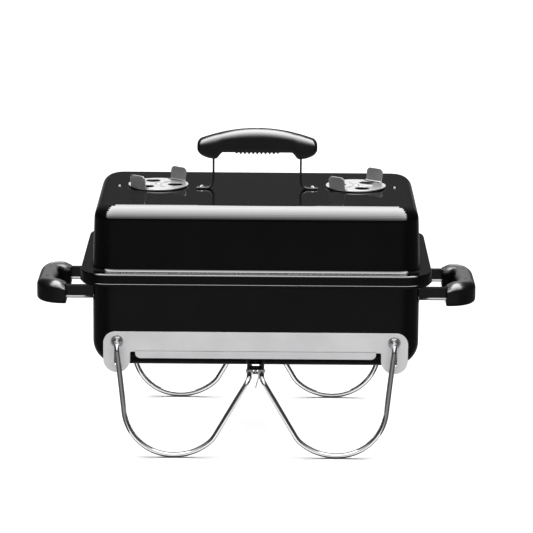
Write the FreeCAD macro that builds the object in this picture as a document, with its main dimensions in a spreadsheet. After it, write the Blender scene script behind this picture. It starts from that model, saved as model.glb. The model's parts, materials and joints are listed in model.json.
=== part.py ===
import FreeCAD, Part

import math
import os

import Sketcher

# A portable charcoal grill: a lift-off lid over a fire bowl that stands on two folding wire legs.
# Millimetres. +X is the grill's right, +Y its back, +Z up, and the floor under its middle is the origin.

doc = FreeCAD.newDocument("portable_grill")
sheet = doc.addObject("Spreadsheet::Sheet", "Sizes")

SIZES = {
    # bowl
    "wall": 1.2,
    "bowl_half_x": 195.0,
    "bowl_half_y": 120.0,
    "bowl_bottom": 104.0,
    "bowl_corner": 30.0,
    "bowl_round": 29.0,
    "bowl_rim_top": 221.0,
    "bowl_rim_half_x": 207.5,
    "bowl_rim_half_y": 131.5,
    "bowl_rim_corner": 34.0,
    "bowl_hem_bottom": 206.5,
    # lid
    "lid_flange_top": 222.5,
    "lid_top": 300.5,
    "lid_draft": 1.9,
    "lid_round": 18.0,
    "lid_rim_half_x": 209.3,
    "lid_rim_half_y": 133.5,
    "lid_rim_corner": 36.0,
    "lid_skirt_bottom": 209.0,
    "lid_neck_round": 4.0,
    "lid_edge_round": 1.5,
    "bump_x": 168.0,
    "bump_y": 11.0,
    "bump_radius": 3.2,
    "bump_height": 0.7,
    # dampers
    "damper_x": 120.5,
    "damper_y": 14.0,
    "damper_radius": 36.5,
    "damper_sheet": 1.2,
    "damper_gap": 1.1,
    "damper_hole": 9.0,
    "damper_hole_orbit": 21.0,
    "damper_bore": 2.6,
    "vent_hole": 7.5,
    "tab_width": 24.5,
    "tab_rise": 15.5,
    "tab_corner": 5.0,
    "tab_angle": 50.0,
    "rib_rise": 0.6,
    "damper_pin": 2.52,
    "damper_play": 0.15,
    "floor_damper_y": 10.0,
    "floor_damper_radius": 31.0,
    "floor_tab_drop": 9.0,
    # lid handle
    "grip_half": 72.8,
    "grip_depth": 26.0,
    "grip_top": 374.7,
    "grip_shoulder": 360.5,
    "grip_under": 345.8,
    "grip_block_bottom": 337.6,
    "grip_edge": 3.6,
    "ridge_radius": 2.3,
    "ridge_pitch": 5.0,
    "strap_sheet": 2.4,
    "strap_width": 13.0,
    "post_x": 53.0,
    "strap_top": 355.0,
    "strap_bend": 8.0,
    "foot_end": 73.5,
    "foot_rivet_x": 67.5,
    "foot_bore": 2.1,
    # side handles
    "arm_y": 50.0,
    "arm_middle": 182.6,
    "arm_height": 15.0,
    "arm_depth": 9.0,
    "arm_web": 2.0,
    "arm_flange": 2.0,
    "arm_end": 252.0,
    "arm_plate_half": 60.0,
    "arm_plate_sheet": 2.0,
    "side_grip_inner": 229.5,
    "side_grip_outer": 266.7,
    "side_grip_half_y": 62.0,
    "side_grip_low": 168.5,
    "side_grip_high": 197.0,
    "side_grip_recess": 243.5,
    "side_grip_corner": 33.0,
    "side_grip_edge": 6.0,
    "side_lobe_y": 37.0,
    "side_bulge": 3.0,
    "arm_screw_y": 28.0,
    "screw_radius": 2.5,
    # leg brackets
    "plate_sheet": 1.5,
    "plate_half_x": 181.5,
    "plate_top": 150.0,
    "plate_middle": 125.5,
    "plate_top_round": 14.0,
    "lobe_inner": 149.5,
    "lobe_bottom": 100.0,
    "lobe_round": 15.9,
    "lip_half_x": 143.5,
    "lip_bottom": 117.0,
    "lip_lean": 3.5,
    "lip_corner": 6.0,
    "dome_base": 7.3,
    "dome_face": 5.7,
    "dome_rise": 2.4,
    "dome_cavity": 5.0,
    "slot_width": 6.7,
    "slot_top": 129.0,
    "slot_bottom": 108.5,
    # legs
    "wire_radius": 3.175,
    "pivot_x": 165.0,
    "pivot_z": 138.0,
    "pivot_clearance": 0.09,
    "loop_plane": 138.4,
    "loop_heel_x": 150.2,
    "loop_toe_x": 73.0,
    "loop_knee_x": 50.6,
    "loop_knee_z": 22.2,
    "rod_x": 7.4,
    "rod_z": 97.0,
    "heel_bend": 58.5,
    "toe_bend": 65.0,
    "knee_bend": 30.0,
    "end_bend": 8.5,
    "ear_radius": 4.4,
    "ear_sheet": 1.2,
    "ear_gap": 0.6,
    # catch under the bowl
    "catch_y": 105.0,
    "catch_near_y": 97.0,
    "catch_far_y": 112.0,
    "catch_pin": 1.5,
    "catch_half_x": 9.7,
    "catch_side": 2.2,
    "catch_bar_bottom": 101.5,
    "catch_bar_sheet": 1.4,
    "clip_sheet": 0.8,
    "clip_width": 11.0,
    "clip_play": 0.35,
    "clip_dip": 1.4,
    "clip_tail_z": 78.0,
    # grates
    "grate_half_x": 181.0,
    "grate_half_y": 109.5,
    "grate_corner": 24.0,
    "grate_z": 198.0,
    "grate_frame": 2.6,
    "grate_bar": 1.7,
    "grate_bar_pitch": 15.6,
    "coal_half_x": 170.0,
    "coal_half_y": 98.0,
    "coal_z": 132.0,
    "coal_bar": 2.4,
    "coal_bar_pitch": 19.0,
    "coal_rail_y": 68.0,
    "coal_post_x": 150.0,
    "ledge_x": 105.0,
    "ledge_half": 15.0,
    "ledge_depth": 12.0,
    "ledge_sheet": 2.0,
    "rest_gap": 0.3,
}


class Formula:
    """A length with the spreadsheet expression that gives it."""

    def __init__(self, value, text):
        self.value = float(value)
        self.text = text

    def __add__(self, other):
        return Formula(self.value + number(other), f"({self.text} + {expression(other)})")

    def __radd__(self, other):
        return Formula(number(other) + self.value, f"({expression(other)} + {self.text})")

    def __sub__(self, other):
        return Formula(self.value - number(other), f"({self.text} - {expression(other)})")

    def __rsub__(self, other):
        return Formula(number(other) - self.value, f"({expression(other)} - {self.text})")

    def __mul__(self, other):
        return Formula(self.value * number(other), f"({self.text} * {expression(other)})")

    def __rmul__(self, other):
        return Formula(number(other) * self.value, f"({expression(other)} * {self.text})")

    def __truediv__(self, other):
        return Formula(self.value / number(other), f"({self.text} / {expression(other)})")

    def __neg__(self):
        return Formula(-self.value, f"(0 - {self.text})")


def number(length):
    return length.value if isinstance(length, Formula) else float(length)


def expression(length):
    return length.text if isinstance(length, Formula) else f"{length:g}"


def root(length):
    return Formula(math.sqrt(length.value), f"sqrt({length.text})")


class Sizes:
    """The spreadsheet's sizes as formulas."""

    def __getattr__(self, alias):
        return Formula(SIZES[alias], f"Sizes.{alias}")


S = Sizes()
for row, (alias, size) in enumerate(SIZES.items(), start=1):
    sheet.set(f"A{row}", alias)
    sheet.set(f"B{row}", str(size))
    sheet.setAlias(f"B{row}", alias)
doc.recompute()

X_AXIS = FreeCAD.Vector(1, 0, 0)
Y_AXIS = FreeCAD.Vector(0, 1, 0)
Z_AXIS = FreeCAD.Vector(0, 0, 1)
ORIGIN = FreeCAD.Vector(0, 0, 0)
HALF_TURN = FreeCAD.Placement(ORIGIN, FreeCAD.Rotation(Z_AXIS, 180))

nodes = []


def keep(piece, label):
    """Names a finished sub-part and lists it for export."""
    piece.Label = label
    nodes.append(piece)
    return piece


def bind(piece, prop, length):
    """Ties a property to the spreadsheet, or sets it when the length is a plain number."""
    if isinstance(length, Formula):
        piece.setExpression(prop, length.text)
    else:
        setattr(piece, prop, length)


def bind_place(piece, x, y, z, path="Placement"):
    for axis, length in zip("xyz", (x, y, z), strict=True):
        piece.setExpression(f"{path}.Base.{axis}", expression(length))


# ---- Part primitives


def box(name, low, high):
    """A box between two corners."""
    piece = doc.addObject("Part::Box", name)
    for prop, start, end in zip(("Length", "Width", "Height"), low, high, strict=True):
        bind(piece, prop, end - start)
    bind_place(piece, *low)
    return piece


def turn_to(direction):
    return FreeCAD.Rotation(Z_AXIS, direction)


def cylinder(name, at, radius, length, direction=Z_AXIS):
    """A cylinder that starts at a point and runs along a direction."""
    piece = doc.addObject("Part::Cylinder", name)
    bind(piece, "Radius", radius)
    bind(piece, "Height", length)
    piece.Placement = FreeCAD.Placement(ORIGIN, turn_to(direction))
    bind_place(piece, *at)
    return piece


def dome(name, at, radius, rise, direction=Z_AXIS):
    """A rivet's domed head: the cap of a sphere that stands on a flat base at a point."""
    ball = (radius * radius + rise * rise) / (rise * 2)
    piece = doc.addObject("Part::Sphere", name)
    bind(piece, "Radius", ball)
    piece.Angle1 = math.degrees(math.asin(1 - number(rise) / number(ball)))
    sunk = ball - rise
    piece.Placement = FreeCAD.Placement(ORIGIN, turn_to(direction))
    bind_place(piece, at[0] - sunk * direction.x, at[1] - sunk * direction.y, at[2] - sunk * direction.z)
    return piece


def joined(name, pieces):
    """Touching or overlapping pieces as one solid."""
    piece = doc.addObject("Part::MultiFuse", name)
    piece.Shapes = pieces
    piece.Refine = True
    return piece


def group(name, pieces):
    """Like pieces that stay separate solids of one node."""
    piece = doc.addObject("Part::Compound", name)
    piece.Links = pieces
    return piece


def rivet(name, x, y, low, high, shank, head, rise):
    """A rivet along Z: a shank between two sheets' outer faces, with a domed head at each end."""
    down = Z_AXIS * -1
    return joined(
        name,
        [
            cylinder(f"{name}_shank", (x, y, low), shank, high - low),
            dome(f"{name}_head", (x, y, high), head, rise),
            dome(f"{name}_tail", (x, y, low), head, rise, down),
        ],
    )


# ---- bodies and sketches


def new_body(name):
    return doc.addObject("PartDesign::Body", name)


def origin_plane(body, role):
    return next(feature for feature in body.Origin.OriginFeatures if feature.Role == role)


def new_sketch(body, name, role, offset=0.0):
    """A sketch on one of the body's own planes. XY faces +Z, XZ faces -Y and YZ faces +X."""
    sketch = body.newObject("Sketcher::SketchObject", name)
    sketch.AttachmentSupport = [(origin_plane(body, role), "")]
    sketch.MapMode = "FlatFace"
    sketch.setExpression("AttachmentOffset.Base.z", expression(offset))
    return sketch


def place_point(sketch, shape, end, x, y):
    """Holds one point of a sketch's shape at a place from the sketch's origin."""
    for kind, length in (("DistanceX", x), ("DistanceY", y)):
        index = sketch.addConstraint(Sketcher.Constraint(kind, -1, 1, shape, end, number(length)))
        sketch.setExpression(f"Constraints[{index}]", expression(length))


def arc_through(start, middle, end):
    """An arc through three points, and which of its own ends, 1 or 2, are the start and the end."""
    centre = Part.Arc(start, middle, end).toShape().Curve.Center
    radius = (start - centre).Length
    angles = [math.atan2(point.y - centre.y, point.x - centre.x) for point in (start, end)]
    turned = ((start - centre).cross(middle - start)).z < 0
    if turned:
        angles.reverse()
    arc = Part.ArcOfCircle(Part.Circle(centre, Z_AXIS, radius), *angles)
    return arc, 2 if turned else 1, 1 if turned else 2


def polygon(sketch, corners, crown=None, bend=None):
    """A closed outline through corners given as pairs of lengths. With a crown, the side that closes it
    is an arc through that place, whose radius is bend."""
    points = [FreeCAD.Vector(number(x), number(y), 0) for x, y in corners]
    first = sketch.GeometryCount
    sides = len(points) - 1 if crown else len(points)
    for n in range(sides):
        sketch.addGeometry(Part.LineSegment(points[n], points[(n + 1) % len(points)]))
    for n in range(sides):
        place_point(sketch, first + n, 1, *corners[n])
        if n + 1 < sides or not crown:
            after = (n + 1) % sides
            sketch.addConstraint(Sketcher.Constraint("Coincident", first + n, 2, first + after, 1))
    if crown:
        middle = FreeCAD.Vector(number(crown[0]), number(crown[1]), 0)
        arc, start, end = arc_through(points[-1], middle, points[0])
        shape = sketch.addGeometry(arc)
        place_point(sketch, first + sides - 1, 2, *corners[-1])
        sketch.addConstraint(Sketcher.Constraint("Coincident", first + sides - 1, 2, shape, start))
        sketch.addConstraint(Sketcher.Constraint("Coincident", shape, end, first, 1))
        index = sketch.addConstraint(Sketcher.Constraint("Radius", shape, arc.Radius))
        sketch.setExpression(f"Constraints[{index}]", bend.text)


def crown_radius(chord, rise):
    """The radius of an arc from half its chord and its rise."""
    return (chord * chord + rise * rise) / (rise * 2)


def circle(sketch, x, y, radius):
    centre = FreeCAD.Vector(number(x), number(y), 0)
    shape = sketch.addGeometry(Part.Circle(centre, Z_AXIS, number(radius)))
    place_point(sketch, shape, 3, x, y)
    index = sketch.addConstraint(Sketcher.Constraint("Radius", shape, number(radius)))
    sketch.setExpression(f"Constraints[{index}]", expression(radius))


def rounded_rectangle(sketch, half_x, half_y, corner):
    """A rectangle about the sketch's origin with four equal round corners."""
    wide, deep, radius = number(half_x), number(half_y), number(corner)
    first = sketch.GeometryCount
    starts = [(radius - wide, -deep), (wide, radius - deep), (wide - radius, deep), (-wide, deep - radius)]
    ends = [(wide - radius, -deep), (wide, deep - radius), (radius - wide, deep), (-wide, radius - deep)]
    centres = [(1, -1), (1, 1), (-1, 1), (-1, -1)]
    for side in range(4):
        start = FreeCAD.Vector(*starts[side], 0)
        end = FreeCAD.Vector(*ends[side], 0)
        sketch.addGeometry(Part.LineSegment(start, end))
        sign_x, sign_y = centres[side]
        centre = FreeCAD.Vector(sign_x * (wide - radius), sign_y * (deep - radius), 0)
        begin = math.radians(90 * side - 90)
        arc = Part.ArcOfCircle(Part.Circle(centre, Z_AXIS, radius), begin, begin + math.pi / 2)
        sketch.addGeometry(arc)
    for side in range(4):
        line = first + 2 * side
        arc = line + 1
        after = first + (2 * side + 2) % 8
        sketch.addConstraint(Sketcher.Constraint("Tangent", line, 2, arc, 1))
        sketch.addConstraint(Sketcher.Constraint("Tangent", arc, 2, after, 1))
        sketch.addConstraint(Sketcher.Constraint("Vertical" if side % 2 else "Horizontal", line))
        if side:
            sketch.addConstraint(Sketcher.Constraint("Equal", first + 1, arc))
    limits = [
        ("Radius", (first + 1,), corner),
        ("DistanceY", (-1, 1, first, 1), -half_y),
        ("DistanceX", (-1, 1, first + 2, 1), half_x),
        ("DistanceY", (-1, 1, first + 4, 1), half_y),
        ("DistanceX", (-1, 1, first + 6, 1), -half_x),
    ]
    for kind, where, length in limits:
        index = sketch.addConstraint(Sketcher.Constraint(kind, *where, number(length)))
        sketch.setExpression(f"Constraints[{index}]", expression(length))


def feature(body, kind, name, sketch, length, symmetric=False, backwards=False):
    """A pad or pocket of a sketch. A pocket cuts against the way its sketch faces, unless backwards."""
    piece = body.newObject(f"PartDesign::{kind}", name)
    piece.Profile = sketch
    bind(piece, "Length", length)
    if symmetric:
        piece.SideType = "Symmetric"
    piece.Reversed = backwards
    return check(piece)


def pad(body, name, sketch, length, symmetric=False, backwards=False):
    return feature(body, "Pad", name, sketch, length, symmetric, backwards)


def pocket(body, name, sketch, length, symmetric=False, backwards=False):
    before = body.Shape.Volume
    piece = feature(body, "Pocket", name, sketch, length, symmetric, backwards)
    if body.Shape.Volume >= before:
        raise RuntimeError(f"{name} cuts nothing")
    return piece


def fillet(body, name, radius, wanted):
    """Rounds the body's edges that wanted() picks."""
    doc.recompute()
    base = body.Tip
    edges = [f"Edge{n}" for n, edge in enumerate(base.Shape.Edges, start=1) if wanted(edge)]
    if not edges:
        raise RuntimeError(f"{name} finds no edge")
    piece = body.newObject("PartDesign::Fillet", name)
    piece.Base = (base, edges)
    bind(piece, "Radius", radius)
    return check(piece)


def shell(body, name, thickness, open_face):
    """Hollows the body to a sheet, inwards, and leaves it open at the face that open_face() picks."""
    doc.recompute()
    base = body.Tip
    faces = [f"Face{n}" for n, face in enumerate(base.Shape.Faces, start=1) if open_face(face)]
    piece = body.newObject("PartDesign::Thickness", name)
    piece.Base = (base, faces)
    bind(piece, "Value", thickness)
    piece.Mode = "Skin"
    piece.Join = "Arc"
    piece.Reversed = True
    return check(piece)


def check(piece):
    """Recomputes the document and stops at a feature that failed."""
    doc.recompute()
    if {"Invalid", "Error"} & set(piece.State) or piece.Shape.isNull():
        raise RuntimeError(f"{piece.Name} failed: {piece.State}")
    return piece


def close(first, second, within=0.02):
    return abs(first - number(second)) < within


def edge_at_height(height):
    """Picks edges that lie level at a height."""
    return lambda edge: close(edge.BoundBox.ZMin, height) and close(edge.BoundBox.ZMax, height)


def edge_along(axis, places):
    """Picks straight edges that run along an axis through any of some places in the plane across it."""
    across = [n for n in range(3) if n != axis]

    def wanted(edge):
        if edge.Curve.TypeId != "Part::GeomLine":
            return False
        start, end = (vertex.Point for vertex in edge.Vertexes)
        if any(abs(start[n] - end[n]) > 0.01 for n in across):
            return False
        return any(
            close(start[across[0]], first) and close(start[across[1]], second) for first, second in places
        )

    return wanted


def rounded_block(body, name, half_x, half_y, corner, low, height):
    sketch = new_sketch(body, f"{name}_plan", "XY_Plane", low)
    rounded_rectangle(sketch, half_x, half_y, corner)
    return pad(body, name, sketch, height)


def ring(body, name, outer, inner, low, height):
    """A level rounded frame between two rounded rectangles, each (half x, half y, corner)."""
    sketch = new_sketch(body, f"{name}_plan", "XY_Plane", low)
    rounded_rectangle(sketch, *outer)
    rounded_rectangle(sketch, *inner)
    return pad(body, name, sketch, height)


def both_signs(pairs):
    """Each (x, y) and its mirror image across x = 0."""
    return [(sign * x, y) for x, y in pairs for sign in (1, -1)]


# ---- bowl and lid


def damper_centres(y):
    return ((-S.damper_x, y), (S.damper_x, y))


def vent_circles(sketch, y):
    """Three vent holes and a rivet hole for each of two dampers."""
    turns = (SIZES["tab_angle"] + 180, SIZES["tab_angle"])
    for (x, centre_y), first_angle in zip(damper_centres(y), turns, strict=True):
        for turn in range(3):
            across, along = polar(S.damper_hole_orbit, first_angle + 120 * turn)
            circle(sketch, x + across, centre_y + along, S.vent_hole)
        circle(sketch, x, centre_y, S.damper_bore)


def make_bowl():
    """A drawn steel bowl, round at its bottom edge, with a flange that turns down into a hem."""
    body = new_body("bowl_body")
    rounded_block(
        body, "bowl_block", S.bowl_half_x, S.bowl_half_y, S.bowl_corner,
        S.bowl_bottom, S.bowl_rim_top - S.bowl_bottom,
    )
    fillet(body, "bowl_bottom_round", S.bowl_round, edge_at_height(S.bowl_bottom))
    shell(body, "bowl_shell", S.wall, lambda face: close(face.BoundBox.ZMin, S.bowl_rim_top))
    rim = (S.bowl_rim_half_x, S.bowl_rim_half_y, S.bowl_rim_corner)
    inside_rim = tuple(size - S.wall for size in rim)
    in_wall = (S.bowl_half_x - S.wall / 2, S.bowl_half_y - S.wall / 2, S.bowl_corner - S.wall / 2)
    ring(body, "bowl_flange", rim, in_wall, S.bowl_rim_top - S.wall, S.wall)
    hem_height = S.bowl_rim_top - S.wall / 2 - S.bowl_hem_bottom
    ring(body, "bowl_hem", rim, inside_rim, S.bowl_hem_bottom, hem_height)
    fillet(
        body, "bowl_rim_round", S.lid_edge_round / 2,
        lambda edge: edge_at_height(S.bowl_rim_top)(edge) and on_outline(edge, rim),
    )
    holes = new_sketch(body, "bowl_vent_plan", "XY_Plane", S.bowl_bottom - 1)
    vent_circles(holes, S.floor_damper_y)
    pocket(body, "bowl_vents", holes, S.wall + 2, backwards=True)
    screw_holes = new_sketch(body, "bowl_screw_hole_plan", "YZ_Plane")
    for y in (-S.arm_screw_y, S.arm_screw_y):
        circle(screw_holes, y, S.arm_middle, S.screw_radius)
    pocket(body, "bowl_screw_holes", screw_holes, S.bowl_half_x * 2 + 2, symmetric=True)
    return keep(body, "bowl")


def on_outline(edge, outline):
    """Does an edge lie on a rounded rectangle (half x, half y, corner)?"""
    half_x, half_y, corner = (number(size) for size in outline)
    middle = edge.valueAt((edge.FirstParameter + edge.LastParameter) / 2)
    over_x = max(abs(middle.x) - (half_x - corner), 0)
    over_y = max(abs(middle.y) - (half_y - corner), 0)
    return abs(math.hypot(over_x, over_y) - corner) < 0.05


LID_PLAN = (S.bowl_half_x, S.bowl_half_y, S.bowl_corner)


def make_lid():
    """A drawn steel lid with drafted walls, a flange and a skirt that laps over the bowl's hem."""
    body = new_body("lid_body")
    base = S.lid_flange_top - S.wall
    block = rounded_block(body, "lid_block", *LID_PLAN, base, S.lid_top - base)
    bind(block, "TaperAngle", -S.lid_draft)
    doc.recompute()
    hollow = new_sketch(body, "lid_hollow_plan", "XY_Plane", base)
    rounded_rectangle(hollow, *(size - S.wall for size in LID_PLAN))
    cavity = pocket(body, "lid_hollow", hollow, S.lid_top - S.wall - base, backwards=True)
    bind(cavity, "TaperAngle", -S.lid_draft)
    fillet(body, "lid_inner_round", S.lid_round - S.wall, edge_at_height(S.lid_top - S.wall))
    fillet(body, "lid_top_round", S.lid_round, edge_at_height(S.lid_top))
    rim = (S.lid_rim_half_x, S.lid_rim_half_y, S.lid_rim_corner)
    inside_rim = tuple(size - S.wall for size in rim)
    in_wall = (S.bowl_half_x - S.wall / 2, S.bowl_half_y - S.wall / 2, S.bowl_corner - S.wall / 2)
    ring(body, "lid_flange", rim, in_wall, S.lid_flange_top - S.wall, S.wall)
    ring(
        body, "lid_skirt", rim, inside_rim,
        S.lid_skirt_bottom, S.lid_flange_top - S.wall / 2 - S.lid_skirt_bottom,
    )
    fillet(
        body, "lid_edge", S.lid_edge_round / 1.5,
        lambda edge: edge_at_height(S.lid_flange_top)(edge) and on_outline(edge, rim),
    )
    neck_limits = (S.bowl_half_x + 2, S.bowl_half_y + 2)
    fillet(
        body, "lid_neck", S.lid_neck_round,
        lambda edge: edge_at_height(S.lid_flange_top)(edge) and not beyond(edge, *neck_limits),
    )
    holes = new_sketch(body, "lid_vent_plan", "XY_Plane", S.lid_top + 1)
    vent_circles(holes, S.damper_y)
    for x in (-S.foot_rivet_x, S.foot_rivet_x):
        circle(holes, x, 0.0, S.foot_bore)
    pocket(body, "lid_vents", holes, S.wall + 2)
    bumps = new_sketch(body, "lid_bump_plan", "XY_Plane", S.lid_top - 0.3)
    for x in (-S.bump_x, S.bump_x):
        circle(bumps, x, S.bump_y, S.bump_radius)
    pad(body, "lid_bumps", bumps, S.bump_height + 0.3)
    fillet(body, "lid_bump_round", S.bump_height * 0.8, edge_at_height(S.lid_top + S.bump_height))
    return keep(body, "lid")


def beyond(edge, half_x, half_y):
    """Is any of an edge outside a rectangle about the middle?"""
    bounds = edge.BoundBox
    reach_x = max(abs(bounds.XMin), abs(bounds.XMax))
    reach_y = max(abs(bounds.YMin), abs(bounds.YMax))
    return reach_x > number(half_x) or reach_y > number(half_y)


# ---- dampers


def make_damper(name, radius, tab_rise):
    """A turning vent plate, flat on its own XY plane: a disc with three holes and two finger tabs on +Z."""
    body = new_body(f"{name}_body")
    disc = new_sketch(body, f"{name}_disc_plan", "XY_Plane")
    circle(disc, 0.0, 0.0, radius)
    pad(body, f"{name}_disc", disc, S.damper_sheet)
    half = S.tab_width / 2
    for side, sign in (("right", 1), ("left", -1)):
        base = new_sketch(body, f"{name}_{side}_root_plan", "XY_Plane")
        inner, outer = sign * (radius - 6), sign * radius
        polygon(base, [(inner, -half), (outer, -half), (outer, half), (inner, half)])
        pad(body, f"{name}_{side}_root", base, S.damper_sheet)
        behind = outer if sign < 0 else outer - S.damper_sheet
        flap = new_sketch(body, f"{name}_{side}_tab_plan", "YZ_Plane", behind)
        tip = S.damper_sheet + tab_rise
        polygon(flap, [(-half, 0.0), (half, 0.0), (half, tip), (-half, tip)])
        pad(body, f"{name}_{side}_tab", flap, S.damper_sheet)
    fillet(body, f"{name}_tab_round", S.tab_corner, edge_along(0, both_signs([(half, tip)])))
    fillet(body, f"{name}_bend", S.damper_sheet * 0.9, edge_along(1, both_signs([(radius, 0.0)])))
    ribs = new_sketch(body, f"{name}_rib_plan", "XY_Plane", S.damper_sheet / 2)
    for angle in (60, 180, 300):
        polygon(ribs, turned_rectangle(angle, 10.0, 20.0, 1.0))
    pad(body, f"{name}_ribs", ribs, S.damper_sheet / 2 + S.rib_rise)
    holes = new_sketch(body, f"{name}_hole_plan", "XY_Plane", -1.0)
    circle(holes, 0.0, 0.0, S.damper_bore)
    for angle in (0, 120, 240):
        circle(holes, *polar(S.damper_hole_orbit, angle), S.damper_hole)
    pocket(body, f"{name}_holes", holes, S.damper_sheet + 2, backwards=True)
    return body


def polar(reach, angle):
    return reach * math.cos(math.radians(angle)), reach * math.sin(math.radians(angle))


def turned_rectangle(angle, start, end, half_width):
    """A rectangle's corners, from start to end along a direction from the sketch's origin."""
    along_x, along_y = polar(1.0, angle)
    corners = ((start, -half_width), (end, -half_width), (end, half_width), (start, half_width))
    return [(a * along_x - b * along_y, a * along_y + b * along_x) for a, b in corners]


def make_lid_dampers():
    for side, sign in (("left", -1), ("right", 1)):
        body = make_damper(f"lid_damper_{side}", S.damper_radius, S.tab_rise)
        angle = SIZES["tab_angle"] + (180 if sign < 0 else 0)
        body.Placement = FreeCAD.Placement(ORIGIN, FreeCAD.Rotation(Z_AXIS, angle))
        bind_place(body, sign * S.damper_x, S.damper_y, S.lid_top + S.damper_gap)
        keep(body, f"lid_damper_{side}")
    pins = [damper_rivet(n, x) for n, x in enumerate((-S.damper_x, S.damper_x))]
    keep(group("lid_damper_rivet_pair", pins), "lid_damper_rivets")


def damper_rivet(n, x):
    """A shoulder rivet that holds a lid damper off the lid and lets it turn."""
    name = f"lid_damper_rivet_{n}"
    top = S.lid_top + S.damper_gap + S.damper_sheet + S.damper_play
    pin = rivet(name, x, S.damper_y, S.lid_top - S.wall, top, S.damper_pin, S.damper_bore + 2, 1.6)
    at = (x, S.damper_y, S.lid_top)
    shoulder = cylinder(f"{name}_shoulder", at, S.damper_bore + 3, S.damper_gap - S.damper_play)
    return joined(f"{name}_whole", [pin, shoulder])


def make_floor_dampers():
    """The same vent plates, smaller, under the bowl with their tabs down."""
    for side, sign in (("left", -1), ("right", 1)):
        body = make_damper(f"bowl_damper_{side}", S.floor_damper_radius, S.floor_tab_drop)
        upside_down = FreeCAD.Rotation(X_AXIS, 180)
        angle = FreeCAD.Rotation(Z_AXIS, SIZES["tab_angle"] + (180 if sign < 0 else 0))
        body.Placement = FreeCAD.Placement(ORIGIN, angle * upside_down)
        bind_place(body, sign * S.damper_x, S.floor_damper_y, S.bowl_bottom - S.damper_gap)
        keep(body, f"bowl_damper_{side}")
    pins = []
    for n, x in enumerate((-S.damper_x, S.damper_x)):
        name = f"bowl_damper_rivet_{n}"
        low, high = S.bowl_bottom - S.damper_gap - S.damper_sheet - S.damper_play, S.bowl_bottom + S.wall
        pin = rivet(name, x, S.floor_damper_y, low, high, S.damper_pin, S.damper_bore + 2, 1.6)
        shoulder_at = (x, S.floor_damper_y, S.bowl_bottom - S.damper_gap + S.damper_play)
        shoulder = cylinder(f"{name}_shoulder", shoulder_at, S.damper_bore + 3, S.damper_gap - S.damper_play)
        pins.append(joined(f"{name}_whole", [pin, shoulder]))
    keep(group("bowl_damper_rivet_pair", pins), "bowl_damper_rivets")


# ---- lid handle


def make_lid_handle():
    grip = new_body("lid_grip_body")
    side_view = new_sketch(grip, "lid_grip_outline", "XZ_Plane")
    half = S.grip_half
    left = [
        (1 - half, S.grip_shoulder),
        (-half, S.grip_under + 1),
        (-S.post_x - 2, S.grip_block_bottom),
        (-S.post_x + 6, S.grip_block_bottom + 1),
        (-S.post_x + 11.5, S.grip_under),
    ]
    right = [(-x, z) for x, z in reversed(left)]
    top_bend = crown_radius(half - 1, S.grip_top - S.grip_shoulder)
    polygon(side_view, left + right, (0.0, S.grip_top), top_bend)
    pad(grip, "lid_grip_block", side_view, S.grip_depth, symmetric=True)
    for name, radius, places in (
        ("lid_grip_ends", 6.0, left[:2]),
        ("lid_grip_blocks", 5.0, left[2:4]),
        ("lid_grip_throat", 4.5, left[4:]),
    ):
        fillet(grip, name, radius, edge_along(1, both_signs(places)))
    fillet(grip, "lid_grip_edges", S.grip_edge, on_side_face(S.grip_depth / 2))
    ridges = new_sketch(grip, "lid_grip_ridge_plan", "XZ_Plane")
    for n in range(-5, 6):
        circle(ridges, S.ridge_pitch * n, S.grip_under + 0.06 * n * n, S.ridge_radius)
    pad(grip, "lid_grip_ridges", ridges, S.grip_depth - 8, symmetric=True)
    slot = new_sketch(grip, "lid_grip_slot_plan", "XZ_Plane")
    outer = S.post_x + S.strap_sheet / 2 + 0.1
    inner = S.post_x - S.strap_sheet / 2 - 0.1
    top = S.strap_top + 0.1
    under = S.strap_top - S.strap_sheet - 0.1
    low = S.grip_block_bottom - 5
    polygon(
        slot,
        [(-outer, low), (-inner, low), (-inner, under), (inner, under),
         (inner, low), (outer, low), (outer, top), (-outer, top)],
    )
    pocket(grip, "lid_grip_slot", slot, S.strap_width + 0.2, symmetric=True)
    keep(grip, "lid_handle_grip")

    strap = new_body("lid_strap_body")
    outline = new_sketch(strap, "lid_strap_outline", "XZ_Plane")
    sheet_half = S.strap_sheet / 2
    foot_top = S.lid_top + S.strap_sheet
    inside, outside = S.post_x - sheet_half, S.post_x + sheet_half
    left = [(-S.foot_end, S.lid_top), (-inside, S.lid_top), (-inside, S.strap_top - S.strap_sheet)]
    right = [(-x, z) for x, z in reversed(left)]
    top_right = [(S.foot_end, foot_top), (outside, foot_top), (outside, S.strap_top)]
    top_left = [(-x, z) for x, z in reversed(top_right)]
    polygon(outline, left + right + top_right + top_left)
    pad(strap, "lid_strap", outline, S.strap_width, symmetric=True)
    fillet(strap, "lid_strap_outer_bend", S.strap_bend + S.strap_sheet, edge_along(1, both_signs([left[1]])))
    fillet(strap, "lid_strap_inner_bend", S.strap_bend, edge_along(1, both_signs([top_right[1]])))
    foot_corners = [(sign * S.foot_end, side * S.strap_width / 2) for sign in (1, -1) for side in (1, -1)]
    fillet(strap, "lid_strap_foot_round", S.strap_width / 2 - 0.5, edge_along(2, foot_corners))
    holes = new_sketch(strap, "lid_strap_hole_plan", "XY_Plane", S.lid_top - 1)
    for x in (-S.foot_rivet_x, S.foot_rivet_x):
        circle(holes, x, 0.0, S.foot_bore)
    pocket(strap, "lid_strap_holes", holes, S.strap_sheet + 2, backwards=True)
    keep(strap, "lid_handle_bracket")

    rivets = [
        rivet(f"lid_handle_rivet_{n}", x, 0.0, S.lid_top - S.wall, foot_top, S.foot_bore, 4.2, 1.7)
        for n, x in enumerate((-S.foot_rivet_x, S.foot_rivet_x))
    ]
    keep(group("lid_handle_rivet_pair", rivets), "lid_handle_rivets")


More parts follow.
